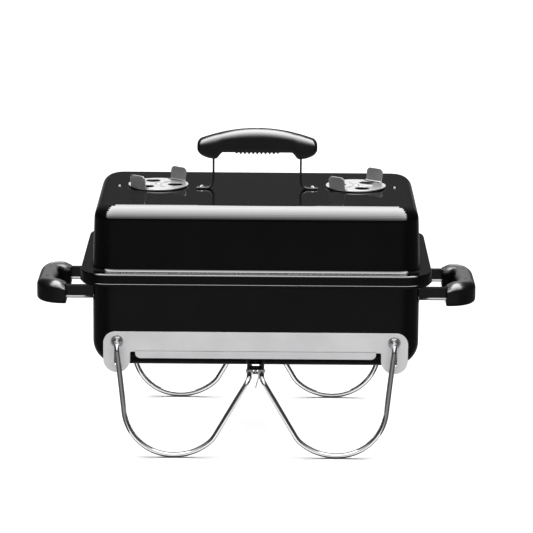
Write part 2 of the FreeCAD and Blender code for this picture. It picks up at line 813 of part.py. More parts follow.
def on_side_face(half_depth):
    """Picks edges that lie in either face across Y."""

    def wanted(edge):
        bounds = edge.BoundBox
        return close(bounds.YMin, bounds.YMax) and close(abs(bounds.YMin), half_depth)

    return wanted


# ---- side handles


def make_side_handles():
    for side, placement in (("right", FreeCAD.Placement()), ("left", HALF_TURN)):
        bracket = new_body(f"side_bracket_{side}_body")
        plate = new_sketch(bracket, f"side_bracket_{side}_plate_plan", "YZ_Plane", S.bowl_half_x)
        wide, low, high = S.arm_plate_half, S.arm_middle - 10, S.arm_middle + 10
        polygon(plate, [(-wide, low), (wide, low), (wide, high), (-wide, high)])
        pad(bracket, f"side_bracket_{side}_plate", plate, S.arm_plate_sheet)
        corners = both_signs([(wide, low), (wide, high)])
        fillet(bracket, f"side_bracket_{side}_corners", 4.0, edge_along(0, corners))
        arms = new_sketch(bracket, f"side_bracket_{side}_arm_plan", "YZ_Plane", S.bowl_half_x)
        for y in (-S.arm_y, S.arm_y):
            polygon(arms, channel_outline(y))
        pad(bracket, f"side_bracket_{side}_arms", arms, S.arm_end - S.bowl_half_x)
        holes = new_sketch(bracket, f"side_bracket_{side}_hole_plan", "YZ_Plane", S.bowl_half_x - 1)
        for y in (-S.arm_screw_y, S.arm_screw_y):
            circle(holes, y, S.arm_middle, S.screw_radius)
        pocket(bracket, f"side_bracket_{side}_holes", holes, S.arm_plate_sheet + 2, backwards=True)
        bracket.Placement = placement
        keep(bracket, f"side_handle_bracket_{side}")

        grip = new_body(f"side_grip_{side}_body")
        plan = new_sketch(grip, f"side_grip_{side}_plan", "XY_Plane", S.side_grip_low)
        lobe = S.side_lobe_y
        upper = [
            (S.side_grip_outer, S.side_grip_half_y),
            (S.side_grip_inner, S.side_grip_half_y),
            (S.side_grip_inner, lobe),
            (S.side_grip_recess, lobe - 7),
        ]
        lower = [(x, -y) for x, y in reversed(upper)]
        bulge = (S.side_grip_recess - S.side_bulge, 0.0)
        polygon(plan, lower + upper, bulge, crown_radius(lobe - 7, S.side_bulge))
        pad(grip, f"side_grip_{side}_block", plan, S.side_grip_high - S.side_grip_low)
        for name, radius, places in (
            ("outer", S.side_grip_corner, upper[:1]),
            ("lobes", 7.0, upper[1:3]),
            ("recess", 8.0, upper[3:]),
        ):
            mirrored = [(x, sign * y) for x, y in places for sign in (1, -1)]
            fillet(grip, f"side_grip_{side}_{name}", radius, edge_along(2, mirrored))
        for name, height in (("top", S.side_grip_high), ("bottom", S.side_grip_low)):
            fillet(grip, f"side_grip_{side}_{name}", S.side_grip_edge, edge_at_height(height))
        sockets = new_sketch(grip, f"side_grip_{side}_socket_plan", "YZ_Plane", S.side_grip_inner - 1)
        across, tall = S.arm_depth / 2 + 0.1, S.arm_height / 2 + 0.1
        for y in (-S.arm_y, S.arm_y):
            polygon(
                sockets,
                [(y - across, S.arm_middle - tall), (y + across, S.arm_middle - tall),
                 (y + across, S.arm_middle + tall), (y - across, S.arm_middle + tall)],
            )
        depth = S.arm_end - S.side_grip_inner + 1.1
        pocket(grip, f"side_grip_{side}_sockets", sockets, depth, backwards=True)
        grip.Placement = placement
        keep(grip, f"side_handle_grip_{side}")
    screws = []
    places = [(sign, y) for sign in (-1, 1) for y in (-S.arm_screw_y, S.arm_screw_y)]
    for n, (sign, y) in enumerate(places):
        name = f"side_screw_{n}"
        out = X_AXIS * sign
        inside = sign * (S.bowl_half_x - S.wall)
        outside = sign * (S.bowl_half_x + S.arm_plate_sheet)
        grip_length = S.wall + S.arm_plate_sheet
        shank = cylinder(f"{name}_shank", (inside, y, S.arm_middle), S.screw_radius, grip_length, out)
        head = dome(f"{name}_head", (outside, y, S.arm_middle), 4.5, 2.6, out)
        tail = dome(f"{name}_tail", (inside, y, S.arm_middle), 4.0, 1.8, out * -1)
        screws.append(joined(name, [shank, head, tail]))
    keep(group("side_screw_set", screws), "side_handle_screws")


def channel_outline(y):
    """The I-shaped section of a handle's arm, about a place across the bowl."""
    half, web = S.arm_depth / 2, S.arm_web / 2
    low, high = S.arm_middle - S.arm_height / 2, S.arm_middle + S.arm_height / 2
    right = [(half, low), (half, low + S.arm_flange), (web, low + S.arm_flange),
             (web, high - S.arm_flange), (half, high - S.arm_flange), (half, high)]
    left = [(-x, z) for x, z in reversed(right)]
    return [(y + x, z) for x, z in right + left]


# ---- leg brackets


def make_leg_brackets():
    """A pressed plate across the front and the back of the bowl, which carries the legs' pivots."""
    for side, placement in (("front", FreeCAD.Placement()), ("back", HALF_TURN)):
        body = new_body(f"leg_bracket_{side}_body")
        lip = new_sketch(body, f"leg_bracket_{side}_lip_plan", "YZ_Plane", -S.lip_half_x)
        outer, inner = -S.bowl_half_y - S.plate_sheet, -S.bowl_half_y
        overlap = S.plate_middle + 1
        polygon(
            lip,
            [(inner, overlap), (outer, overlap), (outer, S.plate_middle), (outer + S.lip_lean, S.lip_bottom),
             (inner + S.lip_lean, S.lip_bottom), (inner, S.plate_middle)],
        )
        pad(body, f"leg_bracket_{side}_lip", lip, S.lip_half_x * 2)
        corners = new_sketch(body, f"leg_bracket_{side}_lip_corner_plan", "XZ_Plane", S.bowl_half_y)
        for sign in (1, -1):
            polygon(corners, *outside_corner(sign, S.lip_half_x, S.lip_bottom, S.lip_corner))
        pocket(body, f"leg_bracket_{side}_lip_corners", corners, S.lip_lean * 4, symmetric=True)
        plate = new_sketch(body, f"leg_bracket_{side}_outline", "XZ_Plane", S.bowl_half_y)
        left = [(-S.plate_half_x, S.plate_top), (-S.plate_half_x, S.lobe_bottom),
                (-S.lobe_inner, S.lobe_bottom), (-S.lobe_inner, S.plate_middle)]
        right = [(-x, z) for x, z in reversed(left)]
        polygon(plate, left + right)
        pad(body, f"leg_bracket_{side}_plate", plate, S.plate_sheet)
        fillet(body, f"leg_bracket_{side}_top", S.plate_top_round, edge_along(1, both_signs(left[:1])))
        fillet(body, f"leg_bracket_{side}_lobes", S.lobe_round, edge_along(1, both_signs(left[1:3])))
        fillet(body, f"leg_bracket_{side}_notch", 1.5, edge_along(1, both_signs(left[3:])))
        forward = FreeCAD.Rotation(Z_AXIS, Y_AXIS * -1)
        for n, x in enumerate((-S.pivot_x, S.pivot_x)):
            cone = {"Radius1": S.dome_base, "Radius2": S.dome_face, "Height": S.dome_rise}
            cavity = {"Radius": S.dome_cavity, "Height": S.dome_rise}
            bore = {"Radius": S.wire_radius + S.pivot_clearance, "Height": S.plate_sheet + S.dome_rise + 1}
            solids = (
                ("AdditiveCone", "dome", outer, cone),
                ("SubtractiveCylinder", "cavity", inner, cavity),
                ("SubtractiveCylinder", "bore", inner, bore),
            )
            for kind, name, y, sizes in solids:
                piece = body.newObject(f"PartDesign::{kind}", f"leg_bracket_{side}_{name}_{n}")
                for prop, length in sizes.items():
                    bind(piece, prop, length)
                piece.Placement = FreeCAD.Placement(ORIGIN, forward)
                bind_place(piece, x, y, S.pivot_z)
                body.Tip = piece
                doc.recompute()
        slots = new_sketch(body, f"leg_bracket_{side}_slot_plan", "XZ_Plane", S.bowl_half_y - 1)
        half = S.slot_width / 2
        low, high = S.slot_bottom, S.slot_top
        for x in (-S.pivot_x, S.pivot_x):
            polygon(slots, [(x - half, low), (x + half, low), (x + half, high), (x - half, high)])
        pocket(body, f"leg_bracket_{side}_slots", slots, S.plate_sheet + 2, backwards=True)
        corners = [(S.pivot_x + end, z) for end in (-half, half) for z in (low, high)]
        fillet(body, f"leg_bracket_{side}_slot_round", half - 0.05, edge_along(1, both_signs(corners)))
        body.Placement = placement
        keep(body, f"leg_bracket_{side}")


def outside_corner(sign, half, low, bend):
    """What is cut from a sheet's lower corner to round it: an outline, a crown and a bend for polygon()."""
    short = bend * (1 - math.sqrt(0.5))
    outline = [(half - bend, low), (half - bend, low - 1), (half + 1, low - 1), (half + 1, low + bend),
               (half, low + bend)]
    return [(sign * x, z) for x, z in outline], (sign * (half - short), low + short), bend


# ---- legs


def corner_arc(before, corner, after, radius):
    """The arc that rounds a path's corner, as its start, middle and end."""
    back = (before - corner).normalize()
    ahead = (after - corner).normalize()
    half_angle = back.getAngle(ahead) / 2
    inwards = (back + ahead).normalize()
    centre = corner + inwards * (radius / math.sin(half_angle))
    reach = radius / math.tan(half_angle)
    return corner + back * reach, centre - inwards * radius, corner + ahead * reach


def rounded_path(points, radii):
    """Straight runs between points, with an arc at each point between the first and the last."""
    edges = []
    at = points[0]
    for n, radius in enumerate(radii, start=1):
        start, middle, end = corner_arc(points[n - 1], points[n], points[n + 1], radius)
        edges.append(Part.LineSegment(at, start).toShape())
        edges.append(Part.Arc(start, middle, end).toShape())
        at = end
    edges.append(Part.LineSegment(at, points[-1]).toShape())
    return Part.Wire(edges)


def make_leg(name):
    """One wire: a pivot end, the front loop, a rod under the bowl, the back loop and the other pivot end."""
    size = {alias: float(sheet.get(alias)) for alias in SIZES}
    plane = -size["loop_plane"]
    ear_outer = -size["bowl_half_y"] - size["ear_gap"] - size["ear_sheet"] / 2
    front = [
        FreeCAD.Vector(-size["pivot_x"], ear_outer, size["pivot_z"]),
        FreeCAD.Vector(-size["pivot_x"], plane, size["pivot_z"]),
        FreeCAD.Vector(-size["loop_heel_x"], plane, size["wire_radius"]),
        FreeCAD.Vector(-size["loop_toe_x"], plane, size["wire_radius"]),
        FreeCAD.Vector(-size["loop_knee_x"], plane, size["loop_knee_z"]),
        FreeCAD.Vector(-size["rod_x"], plane, size["rod_z"]),
    ]
    back = [FreeCAD.Vector(point.x, -point.y, point.z) for point in reversed(front)]
    bends = [size[alias] for alias in ("end_bend", "heel_bend", "toe_bend", "knee_bend", "end_bend")]
    path = doc.addObject("Part::Feature", f"{name}_path")
    path.Shape = rounded_path(front + back, bends + bends[::-1])
    section = doc.addObject("Part::Circle", f"{name}_section")
    bind(section, "Radius", S.wire_radius)
    section.Placement = FreeCAD.Placement(front[0], FreeCAD.Rotation(Z_AXIS, Y_AXIS * -1))
    wire = doc.addObject("Part::Sweep", f"{name}_wire")
    wire.Sections = [section]
    wire.Spine = (path, [f"Edge{n + 1}" for n in range(len(path.Shape.Edges))])
    wire.Solid = True
    ears = []
    for end, sign in (("front", -1), ("back", 1)):
        at = (-S.pivot_x, sign * (S.bowl_half_y + S.ear_gap), S.pivot_z)
        ears.append(cylinder(f"{name}_ear_{end}", at, S.ear_radius, S.ear_sheet, Y_AXIS * sign))
    return joined(f"{name}_whole", [wire, *ears])


def make_legs():
    left = make_leg("leg_left")
    keep(left, "leg_left")
    right = make_leg("leg_right")
    right.Placement = HALF_TURN
    keep(right, "leg_right")


# ---- leg catches under the bowl


def make_catches():
    """At each end of the legs' rods: a bracket under the bowl's edge, and a spring clip over both rods."""
    pins = []
    for side, placement in (("front", FreeCAD.Placement()), ("back", HALF_TURN)):
        catch = new_body(f"leg_catch_{side}_body")
        profile = new_sketch(catch, f"leg_catch_{side}_profile", "YZ_Plane", -S.catch_half_x)
        near, far = S.catch_near_y, S.catch_far_y
        low = S.catch_bar_bottom
        middle = (near + far) / 2
        corners = [(-far, bowl_under(far)), (-far, low), (-near, low), (-near, bowl_under(near))]
        polygon(profile, corners, (-middle, bowl_under(middle)), S.bowl_round)
        pad(catch, f"leg_catch_{side}_block", profile, S.catch_half_x * 2)
        window = new_sketch(catch, f"leg_catch_{side}_window_plan", "XZ_Plane", S.catch_y)
        inner, bar_top = S.catch_half_x - S.catch_side, low + S.catch_bar_sheet
        polygon(window, [(-inner, bar_top), (inner, bar_top), (inner, bar_top + 20), (-inner, bar_top + 20)])
        pocket(catch, f"leg_catch_{side}_window", window, 40.0, symmetric=True)
        hole = new_sketch(catch, f"leg_catch_{side}_hole_plan", "XY_Plane", low - 1)
        circle(hole, 0.0, -S.catch_y, S.catch_pin)
        pocket(catch, f"leg_catch_{side}_hole", hole, S.catch_bar_sheet + 2, backwards=True)
        catch.Placement = placement
        keep(catch, f"leg_catch_{side}")
        make_clip(side, placement)
        y = -S.catch_y if side == "front" else S.catch_y
        bar_top = low + S.catch_bar_sheet
        pins.append(rivet(f"catch_rivet_{side}", 0.0, y, clip_bottom(), bar_top, S.catch_pin, 2.6, 1.0))
    keep(group("catch_rivet_pair", pins), "leg_catch_rivets")


def clip_bottom():
    return S.rod_z - S.clip_dip


def make_clip(side, placement):
    """A spring strip bent into two arches over the rods, a dip between them and a finger tail."""
    body = new_body(f"leg_clip_{side}_body")
    body.AllowCompound = True
    arches = new_sketch(body, f"leg_clip_{side}_arch_plan", "XZ_Plane", S.catch_y)
    inside = S.wire_radius + S.clip_play
    outside = inside + S.clip_sheet
    for x in (-S.rod_x, S.rod_x):
        circle(arches, x, S.rod_z, outside)
        circle(arches, x, S.rod_z, inside)
    pad(body, f"leg_clip_{side}_arches", arches, S.clip_width, symmetric=True)
    below = new_sketch(body, f"leg_clip_{side}_open_plan", "XZ_Plane", S.catch_y)
    reach = S.rod_x + outside + 1
    polygon(below, [(-reach, S.rod_z - 8), (reach, S.rod_z - 8), (reach, S.rod_z), (-reach, S.rod_z)])
    pocket(body, f"leg_clip_{side}_open", below, S.clip_width + 2, symmetric=True)
    dip = new_sketch(body, f"leg_clip_{side}_dip_plan", "XZ_Plane", S.catch_y)
    wide, narrow = S.rod_x - inside, S.rod_x - outside
    low, level = clip_bottom(), clip_bottom() + S.clip_sheet
    polygon(dip, [(-wide, low), (wide, low), (wide, S.rod_z), (narrow, S.rod_z),
                  (narrow, level), (-narrow, level), (-narrow, S.rod_z), (-wide, S.rod_z)])
    pad(body, f"leg_clip_{side}_dip", dip, S.clip_width, symmetric=True)
    tail = new_sketch(body, f"leg_clip_{side}_tail_plan", "XZ_Plane", S.catch_y)
    knee_z = low - 3.5
    polygon(tail, [(narrow - 0.4, level), (wide - 0.1, level), (wide + 0.7, knee_z), (0.8, S.clip_tail_z),
                   (-0.2, S.clip_tail_z), (wide - 0.3, knee_z)])
    pad(body, f"leg_clip_{side}_tail", tail, S.clip_width - 1, symmetric=True)
    hole = new_sketch(body, f"leg_clip_{side}_hole_plan", "XY_Plane", low - 0.5)
    circle(hole, 0.0, -S.catch_y, S.catch_pin)
    pocket(body, f"leg_clip_{side}_hole", hole, S.clip_sheet + 1, backwards=True)
    body.Placement = placement
    keep(body, f"leg_clip_{side}")


def bowl_under(y):
    """The height of the bowl's underside in its round edge, where a catch's sides meet it."""
    inset = y - (S.bowl_half_y - S.bowl_round)
    return S.bowl_bottom + S.bowl_round - root(S.bowl_round * S.bowl_round - inset * inset)


# ---- grates


def make_cooking_grate():
    body = new_body("cooking_grate_body")
    path = new_sketch(body, "cooking_grate_path", "XY_Plane", S.grate_z)
    rounded_rectangle(path, S.grate_half_x, S.grate_half_y, S.grate_corner)
    section = new_sketch(body, "cooking_grate_section", "YZ_Plane")
    circle(section, -S.grate_half_y, S.grate_z, S.grate_frame)
    doc.recompute()
    frame = body.newObject("PartDesign::AdditivePipe", "cooking_grate_frame")
    frame.Profile = section
    frame.Spine = (path, [f"Edge{n + 1}" for n in range(8)])
    doc.recompute()
    bars = new_sketch(body, "cooking_grate_bar_plan", "XZ_Plane")
    count = 10
    for n in range(-count, count + 1):
        circle(bars, S.grate_bar_pitch * n, S.grate_z, S.grate_bar)
    pad(body, "cooking_grate_bars", bars, S.grate_half_y * 2, symmetric=True)
    rails = new_sketch(body, "cooking_grate_rail_plan", "YZ_Plane")
    for y in (-45.0, 45.0):
        circle(rails, y, S.grate_z - S.grate_bar - S.grate_frame + 0.5, S.grate_frame)
    pad(body, "cooking_grate_rails", rails, S.grate_half_x * 2, symmetric=True)
    return keep(body, "cooking_grate")


def make_charcoal_grate():
    body = new_body("charcoal_grate_body")
    body.AllowCompound = True
    bars = new_sketch(body, "charcoal_grate_bar_plan", "XZ_Plane")
    count = 8
    for n in range(-count, count + 1):
        circle(bars, S.coal_bar_pitch * n, S.coal_z, S.coal_bar)
    pad(body, "charcoal_grate_bars", bars, S.coal_half_y * 2, symmetric=True)
    rails = new_sketch(body, "charcoal_grate_rail_plan", "YZ_Plane")
    for y in (-S.coal_rail_y, S.coal_rail_y):
        circle(rails, y, S.coal_z - S.coal_bar * 2 + 0.5, S.coal_bar)
    pad(body, "charcoal_grate_rails", rails, S.coal_half_x * 2, symmetric=True)
    return keep(body, "charcoal_grate")


def make_grate_supports():
    ledges = []
    inside = S.bowl_half_y - S.wall
    top = S.grate_z - S.grate_frame - S.rest_gap
    edge = inside - S.ledge_depth
    for n, x in enumerate((-S.ledge_x, S.ledge_x)):
        left, right = x - S.ledge_half, x + S.ledge_half
        for side, start, end in (("front", -inside, -edge), ("back", edge, inside)):
            ledges.append(box(f"ledge_{side}_{n}", (left, start, top - S.ledge_sheet), (right, end, top)))
    keep(group("ledge_set", ledges), "cooking_grate_ledges")
    posts = []
    top = S.coal_z - S.coal_bar * 3 + 0.5 - S.rest_gap
    floor = S.bowl_bottom + S.wall
    for n, (sign_x, sign_y) in enumerate([(-1, -1), (1, -1), (-1, 1), (1, 1)]):
        x, y = sign_x * S.coal_post_x, sign_y * S.coal_rail_y
        posts.append(box(f"coal_post_{n}", (x - 10, y - 1.5, floor), (x + 10, y + 1.5, top)))
    keep(group("coal_post_set", posts), "charcoal_grate_posts")


make_bowl()
make_lid()
make_lid_dampers()
make_floor_dampers()
make_lid_handle()
make_side_handles()
make_leg_brackets()
make_legs()
make_catches()
make_cooking_grate()
make_charcoal_grate()
make_grate_supports()
doc.recompute()

for piece in doc.Objects:
    if {"Invalid", "Error"} & set(piece.State):
        raise RuntimeError(f"{piece.Name} failed: {piece.State}")
for piece in nodes:
    if piece.Shape.isNull() or not piece.Shape.isValid():
        raise RuntimeError(f"{piece.Label} has no valid shape")

os.makedirs("parts", exist_ok=True)
for piece in nodes:
    piece.Shape.exportStep(f"parts/{piece.Label}.step")
    bounds = piece.Shape.optimalBoundingBox()
    print(
        f"{piece.Label:24s} solids {len(piece.Shape.Solids)} volume {piece.Shape.Volume:10.0f}"
        f"  x {bounds.XMin:7.1f} {bounds.XMax:7.1f}  y {bounds.YMin:7.1f} {bounds.YMax:7.1f}"
        f"  z {bounds.ZMin:6.1f} {bounds.ZMax:6.1f}"
    )
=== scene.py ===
import json
import math

import bmesh
import bpy
from mathutils import Matrix, Vector


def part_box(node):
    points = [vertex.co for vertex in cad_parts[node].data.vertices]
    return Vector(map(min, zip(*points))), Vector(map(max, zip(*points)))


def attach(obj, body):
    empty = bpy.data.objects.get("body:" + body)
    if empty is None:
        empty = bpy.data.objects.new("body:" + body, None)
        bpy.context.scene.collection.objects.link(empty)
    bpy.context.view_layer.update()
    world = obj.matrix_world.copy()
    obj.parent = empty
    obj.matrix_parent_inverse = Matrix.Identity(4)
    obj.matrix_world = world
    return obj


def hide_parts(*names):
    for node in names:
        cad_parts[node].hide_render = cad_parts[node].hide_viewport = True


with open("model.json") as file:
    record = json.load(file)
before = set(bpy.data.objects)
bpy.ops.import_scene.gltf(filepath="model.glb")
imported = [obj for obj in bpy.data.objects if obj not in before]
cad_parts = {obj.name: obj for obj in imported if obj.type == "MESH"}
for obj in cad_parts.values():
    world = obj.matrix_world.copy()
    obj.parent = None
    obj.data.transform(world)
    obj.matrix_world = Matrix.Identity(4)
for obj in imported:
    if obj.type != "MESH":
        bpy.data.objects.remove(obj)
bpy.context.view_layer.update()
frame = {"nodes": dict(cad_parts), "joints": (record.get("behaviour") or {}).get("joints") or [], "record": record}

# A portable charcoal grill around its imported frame. Metres: +X is its right, +Y its back, +Z up, and it
# stands on z = 0. Places come from the frame's boxes and joints. What is written here is the shape between.

X, Y, Z = Vector((1, 0, 0)), Vector((0, 1, 0)), Vector((0, 0, 1))
HALF_TURN = Matrix.Rotation(math.pi, 4, "Z")
CORNER_STEPS = 20
ARC_STEP = math.radians(5)
QUARTERS = ((1, -1), (1, 1), (-1, 1), (-1, -1))
SIDES = (("left", -1), ("right", 1))

# Bowl and lid: half the width and depth of the body below the rim, with its corner, and the sheet's bends.
BASE = (0.195, 0.120, 0.030)
SHEET = 0.0012
BOWL_RIM_CORNER = 0.034
LID_RIM_CORNER = 0.036
BOWL_ROUND = 0.029
HEM_HEIGHT = 0.1025
LID_ROUND = 0.018
LID_DRAFT = math.radians(1.9)
LID_SKIRT = 0.0135
NECK_ROUND = 0.004

# How far the CAD lid's bumps stand over its flat top.
BUMP_RISE = 0.0007

# Vents: where each plate's first hole lies, in degrees, and the circle that its holes are on.
VENT_TURNS = (("left", 230), ("right", 50))
VENT_CIRCLE = 0.021
SHEET_HOLE = 0.0075
PLATE_HOLE = 0.009
LID_TAB = 0.0155
BOWL_TAB = 0.009
TAB_LEAN = math.radians(8)

# Legs: the front bracket's plate and the radius of the wire.
PLATE_FRONT = -0.1215
PLATE = 0.0015
WIRE = 0.003175


def box_of(node):
    """A node's lowest corner, highest corner and middle."""
    low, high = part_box(node)
    return low, high, (low + high) / 2


def joint(name):
    """A joint of the frame by its name."""
    return next(j for j in frame["joints"] if j["name"] == name)


# ---- meshes


class Build:
    """The points and faces of one piece."""

    def __init__(self):
        self.points = []
        self.faces = []

    def ring(self, points):
        """Adds a row of points and gives their numbers."""
        first = len(self.points)
        self.points.extend(points)
        return list(range(first, len(self.points)))

    def skin(self, one, other, closed=True):
        """Faces between two rows of as many points."""
        count = len(one)
        for n in range(count if closed else count - 1):
            after = (n + 1) % count
            self.faces.append((one[n], one[after], other[after], other[n]))

    def loft(self, rows, caps=True):
        """A closed skin through rings, with a face at each end."""
        rings = [self.ring(row) for row in rows]
        for one, other in zip(rings, rings[1:]):
            self.skin(one, other)
        if caps:
            self.faces.append(tuple(reversed(rings[0])))
            self.faces.append(tuple(rings[-1]))
        return rings

    def piece(self, name):
        """The points and faces so far, as an object."""
        mesh = bpy.data.meshes.new(name)
        mesh.from_pydata([tuple(point) for point in self.points], [], self.faces)
        return new_piece(name, mesh)


def new_piece(name, mesh):
    """A mesh as an object in the scene."""
    mesh.validate()
    obj = bpy.data.objects.new(name, mesh)
    bpy.context.scene.collection.objects.link(obj)
    return obj


def settle(obj, sharp=35.0):
    """Smooth shading that keeps flats flat, and edges crisp where they turn by more than sharp degrees."""
    obj.data.shade_smooth()
    obj.data.set_sharp_from_angle(angle=math.radians(sharp))
    weighted = obj.modifiers.new("normals", "WEIGHTED_NORMAL")
    weighted.keep_sharp = True
    return obj


def bake(obj):
    """Makes an object's modifiers part of its mesh."""
    depsgraph = bpy.context.evaluated_depsgraph_get()
    depsgraph.update()
    mesh = bpy.data.meshes.new_from_object(obj.evaluated_get(depsgraph), depsgraph=depsgraph)
    obj.modifiers.clear()
    old = obj.data
    obj.data = mesh
    mesh.name = obj.name
    bpy.data.meshes.remove(old)
    return obj


def merged(name, pieces):
    """Several meshes as one piece."""
    build = Build()
    for piece in pieces:
        first = len(build.points)
        build.points.extend(piece.matrix_world @ v.co for v in piece.data.vertices)
        build.faces.extend(tuple(first + n for n in face.vertices) for face in piece.data.polygons)
        bpy.data.objects.remove(piece)
    return build.piece(name)


def turned(obj, matrix):
    """Turns and moves a piece's mesh."""
    obj.data.transform(matrix)
    return obj


def drill(obj, holes, low, high):
    """Cuts upright round holes, each (x, y, radius), through an object between two heights."""
    build = Build()
    for x, y, radius in holes:
        rows = []
        for z in (low, high):
            rows.append([Vector((x + radius * math.cos(a), y + radius * math.sin(a), z)) for a in turn(48)])
        build.loft(rows)
    cutter = build.piece("cutter")
    cut = obj.modifiers.new("holes", "BOOLEAN")
    cut.operation = "DIFFERENCE"
    cut.solver = "EXACT"
    cut.object = cutter
    bake(obj)
    bpy.data.objects.remove(cutter)
    return obj


def turn(steps):
    """The angles of evenly spaced steps round a circle."""
    return [2 * math.pi * n / steps for n in range(steps)]


# ---- outlines and paths


def step_up(value, start, end):
    """0 below start, 1 above end and a smooth rise between."""
    part = min(max((value - start) / (end - start), 0.0), 1.0)
    return part * part * (3 - 2 * part)


def end_cut(left, corner):
    """How far a strip's side draws in at a distance left from its end, where the end's corner is round."""
    return corner - math.sqrt(max(corner**2 - max(corner - left, 0) ** 2, 0))


def plan(size, z, grow=0.0):
    """A level ring: a rounded rectangle (half x, half y, corner) grown outwards."""
    half_x, half_y = size[0] + grow, size[1] + grow
    least_corner = 0.0004
    corner = max(size[2] + grow, least_corner)
    ring = []
    for quarter, (sign_x, sign_y) in enumerate(QUARTERS):
        for step in range(CORNER_STEPS + 1):
            angle = math.pi / 2 * (quarter - 1 + step / CORNER_STEPS)
            x = sign_x * (half_x - corner) + corner * math.cos(angle)
            y = sign_y * (half_y - corner) + corner * math.sin(angle)
            ring.append(Vector((x, y, z)))
    return ring


def arc(centre, radius, start, end, steps):
    """Pairs along an arc, in degrees."""
    pairs = []
    for n in range(steps + 1):
        angle = math.radians(start + (end - start) * n / steps)
        pairs.append((centre[0] + radius * math.cos(angle), centre[1] + radius * math.sin(angle)))
    return pairs


def corner_arc(before, corner, after, radius):
    """Points round a corner, tangent to both of its sides."""
    back, ahead = (before - corner).normalized(), (after - corner).normalized()
    half = back.angle(ahead) / 2
    centre = corner + (back + ahead).normalized() * (radius / math.sin(half))
    start = corner + back * (radius / math.tan(half)) - centre
    end = corner + ahead * (radius / math.tan(half)) - centre
    sweep = start.angle(end)
    steps = max(3, round(sweep / ARC_STEP))
    points = []
    for n in range(steps + 1):
        part = sweep * n / steps
        weight_start = math.sin(sweep - part) / math.sin(sweep)
        weight_end = math.sin(part) / math.sin(sweep)
        points.append(centre + start * weight_start + end * weight_end)
    return points


def bent_path(points, radii):
    """Straight runs joined by arcs at each point between the first and the last."""
    path = [points[0]]
    for n, radius in enumerate(radii, start=1):
        path.extend(corner_arc(points[n - 1], points[n], points[n + 1], radius))
    path.append(points[-1])
    return path


def outline(corners):
    """A closed outline in a plane from corners (x, y, radius)."""
    points = [Vector((x, y, 0)) for x, y, radius in corners]
    path = []
    for n, (_, _, radius) in enumerate(corners):
        path.extend(corner_arc(points[n - 1], points[n], points[(n + 1) % len(points)], radius))
    return path


def circle_outline(x, y, radius, steps):
    """A closed circle in the plane."""
    return [Vector((x + radius * math.cos(a), y + radius * math.sin(a), 0)) for a in turn(steps)]


def slab(name, loops, thick, round_edge, place):
    """A flat plate with holes and rounded edges: the first loop is its outline, about z = 0."""
    curve = bpy.data.curves.new(name, "CURVE")
    curve.dimensions = "2D"
    curve.fill_mode = "BOTH"
    curve.extrude = thick / 2 - round_edge
    curve.bevel_depth = round_edge
    curve.bevel_resolution = 2
    curve.offset = -round_edge
    for loop in loops:
        spline = curve.splines.new("POLY")
        spline.points.add(len(loop) - 1)
        for point, co in zip(spline.points, loop):
            point.co = (co.x, co.y, 0, 1)
        spline.use_cyclic_u = True
    source = bpy.data.objects.new(name, curve)
    bpy.context.scene.collection.objects.link(source)
    bpy.context.view_layer.update()
    mesh = bpy.data.meshes.new_from_object(source.evaluated_get(bpy.context.evaluated_depsgraph_get()))
    bpy.data.objects.remove(source)
    mesh.transform(place)
    return new_piece(name, weld(mesh))


def weld(mesh, near=1e-6):
    """Joins points that lie together and turns every face outwards."""
    work = bmesh.new()
    work.from_mesh(mesh)
    bmesh.ops.remove_doubles(work, verts=work.verts, dist=near)
    bmesh.ops.dissolve_degenerate(work, edges=work.edges, dist=near)
    bmesh.ops.recalc_face_normals(work, faces=work.faces)
    work.to_mesh(mesh)
    work.free()
    return mesh


def frames_along(path, closed=False):
    """For each point of a path, its direction and two directions across, carried along without twist."""
    count = len(path)
    ahead = []
    for n in range(count):
        after = path[(n + 1) % count] if closed or n + 1 < count else path[n]
        before = path[n - 1] if closed or n else path[n]
        ahead.append((after - before).normalized())
    side = ahead[0].orthogonal().normalized()
    frames = []
    for n in range(count):
        side = (side - ahead[n] * side.dot(ahead[n])).normalized()
        frames.append((ahead[n], side, ahead[n].cross(side)))
    return frames


def tube(build, path, radius, sides=20, closed=False):
    """A round wire along a path."""
    rows = []
    for point, (_, side, across) in zip(path, frames_along(path, closed)):
        rows.append([point + (side * math.cos(a) + across * math.sin(a)) * radius for a in turn(sides)])
    rings = build.loft(rows, caps=not closed)
    if closed:
        build.skin(rings[-1], rings[0])


def strap(build, path, across, half_widths, thick, edge):
    """A flat strip along a path, across a fixed direction, with rounded edges."""
    rows = []
    count = len(path)
    edge_steps = 3
    for n, point in enumerate(path):
        ahead = (path[min(n + 1, count - 1)] - path[max(n - 1, 0)]).normalized()
        up = across.cross(ahead).normalized()
        wide, half = max(half_widths[n], edge * 1.2), thick / 2
        row = []
        for quarter, (sign_a, sign_u) in enumerate(QUARTERS):
            for step in range(edge_steps + 1):
                angle = math.pi / 2 * (quarter - 1 + step / edge_steps)
                a = sign_a * (wide - edge) + edge * math.cos(angle)
                u = sign_u * (half - edge) + edge * math.sin(angle)
                row.append(point + across * a + up * u)
        rows.append(row)
    build.loft(rows)


# ---- materials


